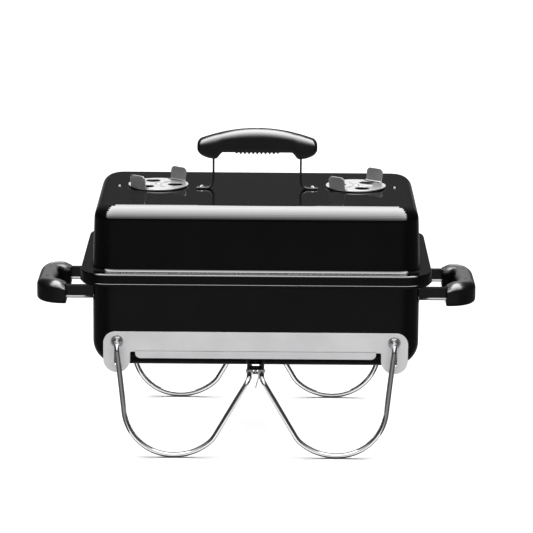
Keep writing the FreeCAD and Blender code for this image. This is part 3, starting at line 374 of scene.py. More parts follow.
def material(name, dark, light, metallic, rough, grain, bump, stretch=(1, 1, 1), specular=0.5, patch=30.0):
    """A finish from noise. dark and light are mixed by slow patches. patch and grain are the scales of the
    slow and the fine noise, per metre. rough is the range of roughness, and bump the depth of the fine
    texture. stretch draws the grain out along an axis."""
    mat = bpy.data.materials.new(name)
    mat.use_nodes = True
    nodes, links = mat.node_tree.nodes, mat.node_tree.links
    shader = nodes["Principled BSDF"]
    shader.inputs["Metallic"].default_value = metallic
    shader.inputs["Specular IOR Level"].default_value = specular
    place = nodes.new("ShaderNodeTexCoord")
    drawn = nodes.new("ShaderNodeMapping")
    drawn.inputs["Scale"].default_value = stretch
    links.new(place.outputs["Object"], drawn.inputs["Vector"])
    slow = noise_node(nodes, links, place.outputs["Object"], patch, 3.0)
    fine = noise_node(nodes, links, drawn.outputs["Vector"], grain, 4.0)
    ramp = nodes.new("ShaderNodeValToRGB")
    ramp.color_ramp.elements[0].position = 0.35
    ramp.color_ramp.elements[1].position = 0.68
    ramp.color_ramp.elements[0].color = (*dark, 1)
    ramp.color_ramp.elements[1].color = (*light, 1)
    links.new(slow, ramp.inputs["Fac"])
    links.new(ramp.outputs["Color"], shader.inputs["Base Color"])
    both = nodes.new("ShaderNodeMix")
    both.inputs["Factor"].default_value = 0.25
    links.new(fine, both.inputs["A"])
    links.new(slow, both.inputs["B"])
    spread = nodes.new("ShaderNodeMapRange")
    spread.inputs["From Min"].default_value = 0.3
    spread.inputs["From Max"].default_value = 0.7
    spread.inputs["To Min"].default_value = rough[0]
    spread.inputs["To Max"].default_value = rough[1]
    links.new(both.outputs["Result"], spread.inputs["Value"])
    links.new(spread.outputs["Result"], shader.inputs["Roughness"])
    relief = nodes.new("ShaderNodeBump")
    relief.inputs["Strength"].default_value = 1.0
    relief.inputs["Distance"].default_value = bump
    links.new(fine, relief.inputs["Height"])
    links.new(relief.outputs["Normal"], shader.inputs["Normal"])
    return mat


def noise_node(nodes, links, vector, scale, detail):
    """Noise over a vector, and its output."""
    noise = nodes.new("ShaderNodeTexNoise")
    noise.inputs["Scale"].default_value = scale
    noise.inputs["Detail"].default_value = detail
    links.new(vector, noise.inputs["Vector"])
    return noise.outputs["Fac"]


def grey(level):
    """A grey, very slightly blue."""
    return (level, level, level * 1.01)


# Each finish by its slot: name, darkest and lightest colour, metallic, roughness, grain and bump depth.
FINISHES = {
    "enamel": material(
        "enamel", grey(0.0015), grey(0.0022), 0.0, (0.02, 0.05), 260.0, 0.0000005, specular=0.25, patch=18.0,
    ),
    "grip_plastic": material(
        "grip_plastic", grey(0.002), grey(0.004), 0.0, (0.2, 0.27), 2600.0, 0.000012, specular=0.3,
        patch=60.0,
    ),
    "arm_paint": material(
        "arm_paint", grey(0.003), grey(0.006), 0.0, (0.12, 0.22), 900.0, 0.000004, specular=0.45,
    ),
    "damper_aluminium": material(
        "damper_aluminium", grey(0.76), grey(0.82), 0.88, (0.3, 0.35), 500.0, 0.0000006,
        stretch=(0.12, 1, 1),
    ),
    "bracket_steel": material(
        "bracket_steel", grey(0.71), grey(0.77), 0.6, (0.38, 0.48), 420.0, 0.000002, stretch=(0.05, 1, 1),
    ),
    "rivet_steel": material(
        "rivet_steel", grey(0.55), grey(0.7), 1.0, (0.15, 0.32), 1500.0, 0.00001,
    ),
    "leg_wire": material(
        "leg_wire", grey(0.72), grey(0.8), 1.0, (0.05, 0.14), 700.0, 0.000006, patch=45.0,
    ),
    "grate_wire": material(
        "grate_wire", (0.42, 0.4, 0.38), (0.62, 0.61, 0.6), 1.0, (0.16, 0.34), 900.0, 0.00001, patch=70.0,
    ),
    "coal_grate_steel": material(
        "coal_grate_steel", (0.2, 0.18, 0.17), (0.4, 0.39, 0.38), 1.0, (0.35, 0.6), 700.0, 0.00003,
        patch=55.0,
    ),
}


def dress(obj, slot, body, *replaced):
    """Gives a new piece its finish and its body, and says which nodes it stands for."""
    obj.data.materials.clear()
    obj.data.materials.append(FINISHES[slot])
    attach(obj, body)
    if replaced:
        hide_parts(*replaced)
    return obj


def keep_nodes():
    """The frame's own pieces that stay: smooth shading and their finish."""
    slots = {part["node"]: part["material_slot"] for part in frame["record"]["subparts"]}
    for name, node in frame["nodes"].items():
        if node.hide_render:
            continue
        node.data.shade_smooth()
        node.data.set_sharp_from_angle(angle=math.radians(32))
        node.data.materials.clear()
        node.data.materials.append(FINISHES[slots[name]])


# ---- bowl and lid

def rim_of(node, corner):
    """A node's outline seen from above, as plan takes it."""
    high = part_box(node)[1]
    return (high.x, high.y, corner)


def bend(rows, size, centre, radius, start, end, steps):
    """Rings round one bend of the sheet. centre is how far outside the size it lies, and its height."""
    for across, up in arc(centre, radius, start, end, steps):
        rows.append(plan(size, up, across))


def make_bowl():
    """The fire bowl: up the inside from the floor, out over the rim, down to the hem and back underneath."""
    low, high, _ = box_of("bowl")
    rim = rim_of("bowl", BOWL_RIM_CORNER)
    hem, top = low.z + HEM_HEIGHT, high.z
    mouth_in, mouth_out, rim_edge, crease, nick = 0.0016, 0.0022, 0.0009, 0.0008, 0.0003
    inner_round = BOWL_ROUND - SHEET
    under = top - SHEET
    rows = []
    bend(rows, BASE, (-BOWL_ROUND, low.z + BOWL_ROUND), inner_round, -90, 0, 12)
    bend(rows, BASE, (mouth_in - SHEET, top - mouth_in), mouth_in, 180, 90, 5)
    bend(rows, rim, (-rim_edge, top - rim_edge), rim_edge, 90, 0, 4)
    rows.append(plan(rim, hem + nick))
    rows.append(plan(rim, hem, -nick))
    rows.append(plan(rim, hem, nick - SHEET))
    rows.append(plan(rim, hem + nick, -SHEET))
    rows.append(plan(rim, under - crease, -SHEET))
    rows.append(plan(rim, under, -SHEET - crease))
    bend(rows, BASE, (mouth_out, under - mouth_out), mouth_out, 90, 180, 4)
    bend(rows, BASE, (-BOWL_ROUND, low.z + BOWL_ROUND), BOWL_ROUND, 0, -90, 12)
    build = Build()
    build.loft([list(reversed(row)) for row in rows])
    bowl = build.piece("fire_bowl")
    drill(bowl, vent_holes("bowl_damper"), low.z - 0.001, low.z + SHEET + 0.001)
    settle(bowl)
    dress(bowl, "enamel", "firebox", "bowl")


def vent_holes(damper):
    """The vent holes in the sheet behind a pair of dampers."""
    holes = []
    for side, start in VENT_TURNS:
        x, y = joint(f"{damper}_turn_{side}")["pos_m"][:2]
        for third in range(3):
            angle = math.radians(start + 120 * third)
            holes.append((x + VENT_CIRCLE * math.cos(angle), y + VENT_CIRCLE * math.sin(angle), SHEET_HOLE))
    return holes


def make_lid():
    """The lid: down the inside to the skirt's rolled edge, over the flange and up the outside to the top."""
    low, high, _ = box_of("lid")
    rim = rim_of("lid", LID_RIM_CORNER)
    flange = low.z + LID_SKIRT
    under = flange - SHEET
    top = high.z - BUMP_RISE
    neck = NECK_ROUND + SHEET
    roll, flange_edge, crease = 0.0009, 0.0024, 0.0006

    def wall_rows(inside):
        """The drafted wall and the round above it, from the foot up, at a depth inside the outer skin."""
        radius = LID_ROUND - inside
        centre_z = top - inside - radius
        slope = math.sin(LID_DRAFT) * (centre_z - under)
        centre = -(radius + inside + slope) / math.cos(LID_DRAFT)
        wall = []
        bend(wall, BASE, (centre, centre_z), radius, math.degrees(LID_DRAFT), 90, 14)
        return wall

    rows = list(reversed(wall_rows(SHEET)))
    bend(rows, BASE, (neck - SHEET, under + neck), neck, 180, 270, 6)
    rows.append(plan(rim, under, -SHEET - crease))
    rows.append(plan(rim, under - crease, -SHEET))
    rows.append(plan(rim, low.z + SHEET, -SHEET))
    bend(rows, rim, (roll - SHEET, low.z + roll), roll, 180, 420, 12)
    bend(rows, rim, (-flange_edge, flange - flange_edge), flange_edge, 0, 90, 8)
    bend(rows, BASE, (NECK_ROUND, flange + NECK_ROUND), NECK_ROUND, 270, 180, 8)
    rows.extend(wall_rows(0.0))
    build = Build()
    build.loft([list(reversed(row)) for row in rows])
    lid = build.piece("lid_shell")
    drill(lid, vent_holes("lid_damper"), top - 0.003, top + 0.001)
    lid = merged("lid_shell", [lid, lid_bumps(top)])
    settle(lid)
    dress(lid, "enamel", "lid", "lid")


def lid_bumps(top):
    """A low dome near each end of the lid's flat top."""
    bump_x, bump_y, radius, height, sunk = 0.168, 0.011, 0.0032, 0.0018, 0.0002
    build = Build()
    for x in (-bump_x, bump_x):
        rows = []
        for across, up in arc((0, 0), 1.0, 0, 80, 6):
            centre = Vector((x, bump_y, top - sunk + height * up))
            rows.append([centre + (X * math.cos(a) + Y * math.sin(a)) * (radius * across) for a in turn(24)])
        build.loft(rows)
    return build.piece("bumps")


# ---- dampers


def vent_disc(name, radius):
    """The plate of a vent: a disc with three holes and a rivet's hole, lying on z = 0."""
    loops = [circle_outline(0, 0, radius, 96)]
    for angle in (0, 120, 240):
        a = math.radians(angle)
        loops.append(circle_outline(VENT_CIRCLE * math.cos(a), VENT_CIRCLE * math.sin(a), PLATE_HOLE, 40))
    rivet_hole = 0.0026
    loops.append(circle_outline(0, 0, rivet_hole, 24))
    return slab(name, loops, SHEET, 0.0003, Matrix.Translation((0, 0, SHEET / 2)))


def vent_tab(build, sign, radius, tab):
    """A tab that is bent up at the plate's edge and leans outwards, with a round-cornered tip."""
    half, corner, fold, reach = 0.01225, 0.005, 0.0022, 0.007
    lean = Vector((sign * math.tan(TAB_LEAN), 0, 1))
    start = Vector((sign * (radius - reach), 0, SHEET / 2))
    foot = Vector((sign * (radius - SHEET / 2), 0, SHEET / 2))
    path = bent_path([start, foot, foot + lean * (SHEET / 2 + tab)], [fold])
    base, tip = path[-2].z, path[-1].z
    even = [base + (tip - base) * n / 10 for n in range(1, 10)] + [tip - 0.0002]
    round_tip = [tip - corner * (1 - math.sin(math.radians(9 * n))) for n in range(10)]
    levels = sorted(set(z for z in even + round_tip if base < z < tip))
    path = path[:-1] + [foot + lean * (z - foot.z) for z in levels] + [path[-1]]
    widths = [half - end_cut(tip - point.z, corner) for point in path]
    strap(build, path, Y, widths, SHEET, 0.0003)


def vent_rib(build, angle):
    """A short pressed rib with round ends, lying along a radius between two holes."""
    a = math.radians(angle)
    along, across = Vector((math.cos(a), math.sin(a), 0)), Vector((-math.sin(a), math.cos(a), 0))
    middle, half_length, half_width, height = 0.015, 0.005, 0.0014, 0.0008
    rows = []
    for up, out in ((0, 1), (0.6, 0.86), (1, 0.35)):
        level = Z * (SHEET - 0.0001 + height * up)
        row = []
        for b in turn(24):
            end = math.copysign(half_length, math.cos(b))
            row.append(along * (middle + end + half_width * out * math.cos(b))
                       + across * (half_width * out * math.sin(b)) + level)
        rows.append(row)
    build.loft(rows)


def make_damper(node, name, start, tab, drop=False):
    """A vent plate, turned by start degrees, with its ribs and tabs. One that drops hangs under the bowl."""
    pair, side = node.rsplit("_", 1)
    pivot = joint(f"{pair}_turn_{side}")["pos_m"]
    low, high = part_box(node)
    radius = (high.x - low.x) / 2
    disc = vent_disc(f"{name}_disc", radius)
    build = Build()
    for sign in (1, -1):
        vent_tab(build, sign, radius, tab)
    for angle in (60, 180, 300):
        vent_rib(build, angle)
    tabs = build.piece(f"{name}_tabs")
    plate = merged(name, [disc, tabs])
    flip = Matrix.Rotation(math.pi, 4, "X") if drop else Matrix.Identity(4)
    seat = high.z if drop else low.z
    spin = Matrix.Rotation(math.radians(start), 4, "Z")
    turned(plate, Matrix.Translation((pivot[0], pivot[1], seat)) @ spin @ flip)
    settle(plate, sharp=40)
    dress(plate, "damper_aluminium", node, node)


# ---- lid handle


def lid_grip_stations(half, ridged, end_round):
    """Where the grip's cross-sections stand along x: close together on the ridges and in the round ends."""
    stations = set(round(ridged * n / 70, 6) for n in range(71))
    stations |= set(round(ridged + (half - ridged - end_round) * n / 36, 6) for n in range(37))
    for n in range(1, 13):
        stations.add(round(half - end_round + end_round * math.sin(math.radians(7.5 * n)), 6))
    return sorted(stations | set(-x for x in stations))


def lid_grip_section(centre, wide, up, down, ridge):
    """A cross-section of the grip: a squared oval, dimpled on top and ridged below."""
    top_power, under_power = 2 / 3.2, 2 / 3.8
    dimple_x, dimple_y, dimple_depth = 0.0042, 0.0026, 0.0011
    row = []
    for a in turn(64):
        c, s = math.cos(a), math.sin(a)
        power = top_power if s > 0 else under_power
        y = wide * math.copysign(abs(c) ** power, c)
        lift = abs(s) ** power
        if s > 0:
            dimple = max(0.0, 1 - (centre.x / dimple_x) ** 2 - ((y - 0.001) / dimple_y) ** 2)
            rise = up * lift - dimple_depth * dimple**0.5 * (lift > 0.9)
        else:
            inside = max(0.0, 1 - (abs(y) / (wide * 0.93)) ** 6)
            rise = -down * lift - ridge * inside * lift**4
        row.append(centre + Vector((0, y, rise)))
    return row


def make_lid_grip():
    """The moulded grip: a bowed crest with a dimple, ridges under its middle and a block over each post."""
    low, high, middle = box_of("lid_handle_grip")
    half, end_round, depth = 0.0728, 0.0058, (high.y - low.y) / 2
    crown, bottom = high.z, low.z
    under, shoulder = crown - 0.0289, crown - 0.0142
    block_in, block_full, block_out, block_rise = 0.0415, 0.0505, 0.0735, 0.0088
    pitch, ridge_depth = 0.005, 0.0026
    ridge_reach = 5.45 * pitch

    def underside(x):
        """The height of the grip's underside, without its ridges."""
        u = abs(x)
        if u < block_in:
            return under
        if u < block_full:
            return under - (under - bottom) * step_up(u, block_in, block_full)
        part = (u - block_full) / (block_out - block_full)
        return bottom + block_rise * part**2.2

    def ridge(x):
        """How far the ridges stand down at x."""
        if abs(x) > ridge_reach:
            return 0.0
        wave = 0.5 + 0.5 * math.cos(2 * math.pi * x / pitch)
        fade = min(1.0, (ridge_reach - abs(x)) / 0.006 + 0.25)
        return ridge_depth * fade * wave**1.4

    rows = []
    for x in lid_grip_stations(half, 0.028, end_round):
        u = abs(x)
        into = max(0.0, u - (half - end_round)) / end_round
        pinch = math.sqrt(max(1 - into**2, 0.0004))
        top = crown - (crown - shoulder) * (x / half) ** 2
        base = underside(x)
        z_mid = base + (top - base) * 0.45 if u > block_in else under + (top - under) * 0.45
        z_mid = max(z_mid, under + 0.004)
        up = (top - z_mid) - end_round * (1 - pinch)
        down = (z_mid - base) - end_round * 0.6 * (1 - pinch)
        wide = depth - 0.0055 * (1 - pinch) - 0.0008 * (u / half) ** 2
        rows.append(lid_grip_section(Vector((x, middle.y, z_mid)), wide, up, down, ridge(x)))
    build = Build()
    build.loft([list(reversed(row)) for row in rows])
    grip = build.piece("lid_grip")
    settle(grip, sharp=60)
    dress(grip, "grip_plastic", "lid", "lid_handle_grip")


def make_lid_strap():
    """The bent strip that carries the lid's grip, its rounded feet flat on the lid."""
    low, high, _ = box_of("lid_handle_bracket")
    thick, post, foot = 0.0024, 0.053, high.x
    foot_bend, top_bend, round_end = 0.0092, 0.004, 0.006
    level, top = low.z + thick / 2, high.z - thick / 2
    half = (high.y - low.y) / 2
    corners = [Vector((-foot, 0, level)), Vector((-post, 0, level)), Vector((-post, 0, top)),
               Vector((post, 0, top)), Vector((post, 0, level)), Vector((foot, 0, level))]
    path = bent_path(corners, [foot_bend, top_bend, top_bend, foot_bend])
    ends = [round_end * (1 - math.cos(math.radians(10 * n))) for n in range(1, 10)]
    path[1:1] = [Vector((e - foot, 0, level)) for e in ends]
    path[-1:-1] = [Vector((foot - e, 0, level)) for e in reversed(ends)]
    widths = []
    for point in path:
        left = foot - abs(point.x) if point.z == level else round_end
        widths.append(half - end_cut(left, round_end))
    build = Build()
    strap(build, path, Y, widths, thick, 0.0005)
    bracket = settle(build.piece("lid_strap"), sharp=50)
    dress(bracket, "arm_paint", "lid", "lid_handle_bracket")


# ---- side handles


def inset(corners, depth):
    """The outline (x, y, radius) moved inwards, its corners anticlockwise: outer corners get tighter."""
    moved = []
    for n, (x, y, radius) in enumerate(corners):
        before, here = Vector(corners[n - 1][:2]), Vector((x, y))
        after = Vector(corners[(n + 1) % len(corners)][:2])
        one, two = (here - before).normalized(), (after - here).normalized()
        in_one, in_two = Vector((-one.y, one.x)), Vector((-two.y, two.x))
        here = here + (in_one + in_two) * depth / (1 + in_one.dot(in_two))
        outward = one.x * two.y - one.y * two.x > 0
        moved.append((here.x, here.y, radius - depth if outward else radius + depth))
    return moved


def cut_off(obj, x):
    """Takes away what lies below a value of x and closes the ends."""
    work = bmesh.new()
    work.from_mesh(obj.data)
    every = work.verts[:] + work.edges[:] + work.faces[:]
    bmesh.ops.bisect_plane(work, geom=every, plane_co=(x, 0, 0), plane_no=(1, 0, 0), clear_inner=True)
    bmesh.ops.holes_fill(work, edges=[edge for edge in work.edges if edge.is_boundary])
    work.to_mesh(obj.data)
    work.free()


def shape_grip_top(grip, box, inner, outer, corner):
    """Presses the grip's top: a crease and a step inside each lobe's rim, a dish and a scoop by each arm."""
    _, high, middle = box
    half = high.y
    turn_x, turn_y = outer - corner, half - corner
    for v in grip.data.vertices:
        x, y, z = v.co
        if abs(y) < turn_y:
            rim = outer - x
        elif x > turn_x:
            rim = corner - math.hypot(x - turn_x, abs(y) - turn_y)
        else:
            rim = half - abs(y)
        above = step_up(z, middle.z, high.z - 0.002)
        lobe = step_up(abs(y), 0.022, 0.034)
        crease = 0.0009 * lobe * math.exp(-((rim - 0.0105) / 0.0011) ** 2)
        step = 0.0011 * lobe * step_up(rim, 0.009, 0.0135)
        dish = 0.0022 * ((x - outer + 0.017) / 0.018) ** 2
        scoop = 0.0026 * step_up(abs(y), 0.036, 0.046) * math.exp(-((x - inner) / 0.0075) ** 2)
        v.co.z -= above * (crease + step + dish + scoop)


def make_side_grip(side, sign):
    """A moulded U-shaped grip: a raised rim round the outside and two lobes that take the bracket's arms."""
    low, high, middle = box_of(f"side_handle_grip_{side}")
    inner, outer = sorted((abs(low.x), abs(high.x)))
    half, corner, lobe_in, lobe_round = high.y, 0.033, 0.039, 0.0105
    recess, recess_half, recess_round, recess_bow = inner + 0.014, 0.030, 0.009, 0.07
    past = inner - 0.0115
    edge, low_edge = 0.0095, 0.0045
    corners = [(outer, -half, corner), (outer, half, corner), (past, half, lobe_round),
               (past, lobe_in, lobe_round), (recess, recess_half, recess_round),
               (recess - 0.002, 0.0, recess_bow), (recess, -recess_half, recess_round),
               (past, -lobe_in, lobe_round), (past, -half, lobe_round)]
    rows = []
    for across, up in arc((0, 0), low_edge, -90, 0, 7):
        rows.append([p + Z * (low.z + low_edge + up) for p in outline(inset(corners, low_edge - across))])
    for across, up in arc((0, 0), edge, 0, 90, 7):
        rows.append([p + Z * (high.z - edge + up) for p in outline(inset(corners, edge - across))])
    build = Build()
    build.loft(rows)
    grip = build.piece(f"side_grip_{side}")
    cut_off(grip, inner)
    remesh = grip.modifiers.new("remesh", "REMESH")
    remesh.mode = "VOXEL"
    remesh.voxel_size = 0.00115
    bake(grip)
    smooth = grip.modifiers.new("smooth", "SMOOTH")
    smooth.factor = 0.5
    smooth.iterations = 3
    bake(grip)
    shape_grip_top(grip, (low, high, middle), inner, outer, corner)
    settle(grip, sharp=80)
    if sign < 0:
        turned(grip, HALF_TURN)
    dress(grip, "grip_plastic", "firebox", f"side_handle_grip_{side}")


def arm_section():
    """An arm's I-shaped cross-section, across and up. The top of its lower flange slopes to the edge."""
    half, web, flange, tall, drop = 0.0045, 0.001, 0.002, 0.0075, 0.0011
    lip, slope = 0.001 - tall, 0.0026 - tall
    right = [(half, -tall), (half, lip), (half - drop, slope), (web, slope + 0.0003), (web, tall - flange),
             (half, tall - flange), (half, tall)]
    return right + [(-across, up) for across, up in reversed(right)]


def make_side_bracket(side, sign):
    """A plate on the bowl's end and two I-section arms."""
    low, high, middle = box_of(f"side_handle_bracket_{side}")
    wall, reach = sorted((abs(low.x), abs(high.x)))
    half_y, half_z = (high.y - low.y) / 2, (high.z - low.z) / 2
    plate, corner, arm_y = 0.002, 0.004, 0.050
    stand = Matrix(((0, 0, 1, 0), (1, 0, 0, 0), (0, 1, 0, 0), (0, 0, 0, 1)))
    face = outline([(a * half_y, b * half_z, corner) for a, b in ((-1, -1), (1, -1), (1, 1), (-1, 1))])
    start = wall + plate / 2
    pieces = [slab("plate", [face], plate, 0.0004, Matrix.Translation((start, 0, middle.z)) @ stand)]
    length = reach - start
    place = Matrix.Translation((start + length / 2, 0, middle.z)) @ stand
    for y in (-arm_y, arm_y):
        loop = [Vector((y + across, up, 0)) for across, up in arm_section()]
        pieces.append(slab("arm", [loop], length, 0.0003, place))
    bracket = settle(merged(f"side_bracket_{side}", pieces), sharp=40)
    if sign < 0:
        turned(bracket, HALF_TURN)
    dress(bracket, "arm_paint", "firebox", f"side_handle_bracket_{side}")


# ---- leg brackets


def leg_plate(low, high, pivot, bend_z):
    """The bracket's flat plate: a lobe at each end, with a slot and the hole that the wire turns in."""
    half, lobe, top_round, lobe_round, bend_round = high.x, 0.1495, 0.014, 0.0159, 0.0015
    corners = [(-half, high.z, top_round), (-half, low.z, lobe_round), (-lobe, low.z, lobe_round),
               (-lobe, bend_z, bend_round), (lobe, bend_z, bend_round), (lobe, low.z, lobe_round),
               (half, low.z, lobe_round), (half, high.z, top_round)]
    loops = [outline(corners)]
    slot_half, slot_round, slot_low, slot_high, hole = 0.00335, 0.0032, 0.1085, 0.129, 0.006
    for x in (-pivot.x, pivot.x):
        left, right = x - slot_half, x + slot_half
        loops.append(outline([(left, slot_low, slot_round), (right, slot_low, slot_round),
                              (right, slot_high, slot_round), (left, slot_high, slot_round)]))
        loops.append(circle_outline(x, pivot.z, hole, 48))
    upright = Matrix(((1, 0, 0, 0), (0, 0, -1, 0), (0, 1, 0, 0), (0, 0, 0, 1)))
    place = Matrix.Translation((0, PLATE_FRONT + PLATE / 2, 0)) @ upright
    return slab("plate", loops, PLATE, 0.0003, place)


def leg_plate_lip(bend_z):
    """The lip below the plate's bend, which leans back under the bowl and has round lower corners."""
    lean, lip_low, lip_half, corner, fold = 0.0035, 0.117, 0.1435, 0.006, 0.0035
    mid_y = PLATE_FRONT + PLATE / 2
    end = Vector((0, mid_y + lean, lip_low))
    path = bent_path([Vector((0, mid_y, bend_z + PLATE)), Vector((0, mid_y, bend_z)), end], [fold])
    path = path[:-1]
    start = path[-1]
    height = start.z - lip_low
    for n in range(1, 4):
        path.append(start.lerp(end, 0.25 * n * (1 - corner / height * 0.7)))
    for n in range(1, 13):
        part = 1 - corner * (1 - math.sin(math.radians(7.5 * n))) / height
        if part > (start.z - path[-1].z) / height + 0.01:
            path.append(start.lerp(end, part))
    widths = [lip_half - end_cut(point.z - lip_low, corner) for point in path]
    build = Build()
    strap(build, path, X, widths, PLATE, 0.0004)
    return build.piece("lip")


def pivot_rings(name, pivot):
    """A raised ring where each wire ends. Its profile is radius and distance behind the plate's face."""
    profile = ((0.0078, 0.0002), (0.0073, -0.0003), (0.0066, -0.0013), (0.0060, -0.0021),
               (0.0056, -0.0024), (0.0048, -0.0023), (0.0042, -0.0016), (0.0038, -0.0012),
               (0.00327, -0.0012), (0.00327, 0.0005))
    build = Build()
    for x in (-pivot.x, pivot.x):
        rows = []
        for radius, behind in profile:
            centre = Vector((x, PLATE_FRONT + behind, pivot.z))
            rows.append([centre + (X * math.cos(a) + Z * math.sin(a)) * radius for a in turn(48)])
        build.loft(rows, caps=False)
    return build.piece(name)


def make_leg_bracket(side):
    """A pressed plate with a leaning lip, and a raised ring for each wire."""
    low, high, _ = box_of("leg_bracket_front")
    pivot = Vector(joint("leg_fold_right")["pos_m"])
    bend_z = low.z + 0.0255
    pieces = [leg_plate(low, high, pivot, bend_z), leg_plate_lip(bend_z)]
    bracket = settle(merged(f"leg_plate_{side}", pieces), sharp=42)
    rings = settle(pivot_rings(f"pivot_rings_{side}", pivot), sharp=60)
    if side == "back":
        turned(bracket, HALF_TURN)
        turned(rings, HALF_TURN)
    dress(bracket, "bracket_steel", "firebox", f"leg_bracket_{side}")
    dress(rings, "rivet_steel", "firebox")


# ---- legs


def make_leg(side, sign):
    """One bent wire with a collar at each pivot, a foot at each end and a rod between them in the clips."""
    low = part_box("leg_left")[0]
    pivot = Vector(joint("leg_fold_left")["pos_m"])
    plane = low.y + WIRE
    ear = 0.0162
    front = [
        Vector((pivot.x, plane + ear, pivot.z)),
        Vector((pivot.x, plane, pivot.z)),
        Vector((-0.1502, plane, WIRE)),
        Vector((-0.0730, plane, WIRE)),
        Vector((-0.0506, plane, 0.0222)),
        Vector((-0.0074, plane, 0.0970)),
    ]
    back = [Vector((point.x, -point.y, point.z)) for point in reversed(front)]
    bends = [0.0085, 0.0585, 0.065, 0.030, 0.0085]
    build = Build()
    tube(build, bent_path(front + back, bends + bends[::-1]), WIRE, 24)
    collar_y, collar = 0.1206, ((0.0, 0.0041), (0.0003, 0.0044), (0.0009, 0.0044), (0.0012, 0.0041))
    for end in (-1, 1):
        at = Vector((pivot.x, end * collar_y, pivot.z))
        rows = []
        for out, radius in collar:
            centre = at + Y * end * out
            rows.append([centre + (X * math.cos(a) + Z * math.sin(a)) * radius for a in turn(24)])
        build.loft(rows if end > 0 else [list(reversed(row)) for row in rows])
    leg = settle(build.piece(f"wire_leg_{side}"), sharp=50)
    if sign > 0:
        turned(leg, HALF_TURN)
    dress(leg, "leg_wire", f"leg_{side}", f"leg_{side}")


# ---- grates


def make_cooking_grate():
    """A frame of thick wire, thin bars across it from front to back and two rails under them."""
    low, high, _ = box_of("cooking_grate")
    frame_wire, bar_wire, corner = 0.0026, 0.0017, 0.024
    pitch, rail_y = 0.0156, 0.045
    half_x, half_y = high.x - frame_wire, high.y - frame_wire
    level = high.z - frame_wire
    rail_level = low.z + frame_wire
    build = Build()
    tube(build, plan((half_x, half_y, corner), level), frame_wire, 16, closed=True)
    for n in range(-10, 11):
        x = pitch * n
        tube(build, [Vector((x, -half_y, level)), Vector((x, half_y, level))], bar_wire, 14)
    for y in (-rail_y, rail_y):
        tube(build, [Vector((-half_x, y, rail_level)), Vector((half_x, y, rail_level))], frame_wire, 14)
    grate = settle(build.piece("grill_grate"), sharp=50)
    dress(grate, "grate_wire", "cooking_grate", "cooking_grate")


def make_charcoal_grate():
    """Bars from front to back on two rails."""
    low, high, _ = box_of("charcoal_grate")
    wire, pitch, rail_y = 0.0024, 0.019, 0.068
    level = high.z - wire
    rail_level = low.z + wire
    build = Build()
    for n in range(-8, 9):
        x = pitch * n
        tube(build, [Vector((x, low.y, level)), Vector((x, high.y, level))], wire, 14)
    for y in (-rail_y, rail_y):
        tube(build, [Vector((low.x, y, rail_level)), Vector((high.x, y, rail_level))], wire, 14)
    grate = settle(build.piece("coal_grate"), sharp=50)
    dress(grate, "coal_grate_steel", "charcoal_grate", "charcoal_grate")


# ---- studio


def make_floor():
    """A wide pale floor that the camera and the lights see, and that glossy pieces do not mirror."""
    half = 9.0
    build = Build()
    build.faces.append(tuple(build.ring([Vector((-half, -half, 0)), Vector((half, -half, 0)),
                                         Vector((half, half, 0)), Vector((-half, half, 0))])))
    floor = build.piece("floor")
    mat = material("floor", grey(0.80), grey(0.82), 0.0, (0.7, 0.8), 40.0, 0.00002, specular=0.2, patch=2.0)
    floor.data.materials.append(mat)
    floor.visible_glossy = False
    return floor


def light_up(name, kind, energy, at, aim, gloss_only=False, seen=True):
    """A light at a point, facing another. A gloss_only one shows only in what is mirrored, and one that is
    not seen is never mirrored."""
    light = bpy.data.lights.new(name, kind)
    light.energy = energy
    obj = bpy.data.objects.new(name, light)
    bpy.context.scene.collection.objects.link(obj)
    obj.location = at
    obj.rotation_mode = "QUATERNION"
    obj.rotation_quaternion = (Vector(aim) - Vector(at)).to_track_quat("-Z", "Y")
    obj.visible_camera = False
    obj.visible_diffuse = not gloss_only
    obj.visible_glossy = seen
    return obj


def softbox(name, wide, deep, radiance, at, aim, **kind):
    """A rectangular light whose face shines evenly with a given radiance."""
    obj = light_up(name, "AREA", radiance * math.pi * wide * deep, at, aim, **kind)
    obj.data.shape = "RECTANGLE"
    obj.data.size = wide
    obj.data.size_y = deep
    return obj


def group(name, pieces):
    """A collection that only says which pieces a light falls on or is stopped by."""
    chosen = bpy.data.collections.new(name)
    for piece in pieces:
        chosen.objects.link(piece)
    return chosen


def grey_ramp(nodes, stops):
    """A colour ramp through (place, grey level) stops."""
    ramp = nodes.new("ShaderNodeValToRGB")
    elements = ramp.color_ramp.elements
    while len(elements) < len(stops):
        elements.new(0.5)
    for element, (where, level) in zip(elements, stops):
        element.position = where
        element.color = (level, level, level, 1)
    return ramp


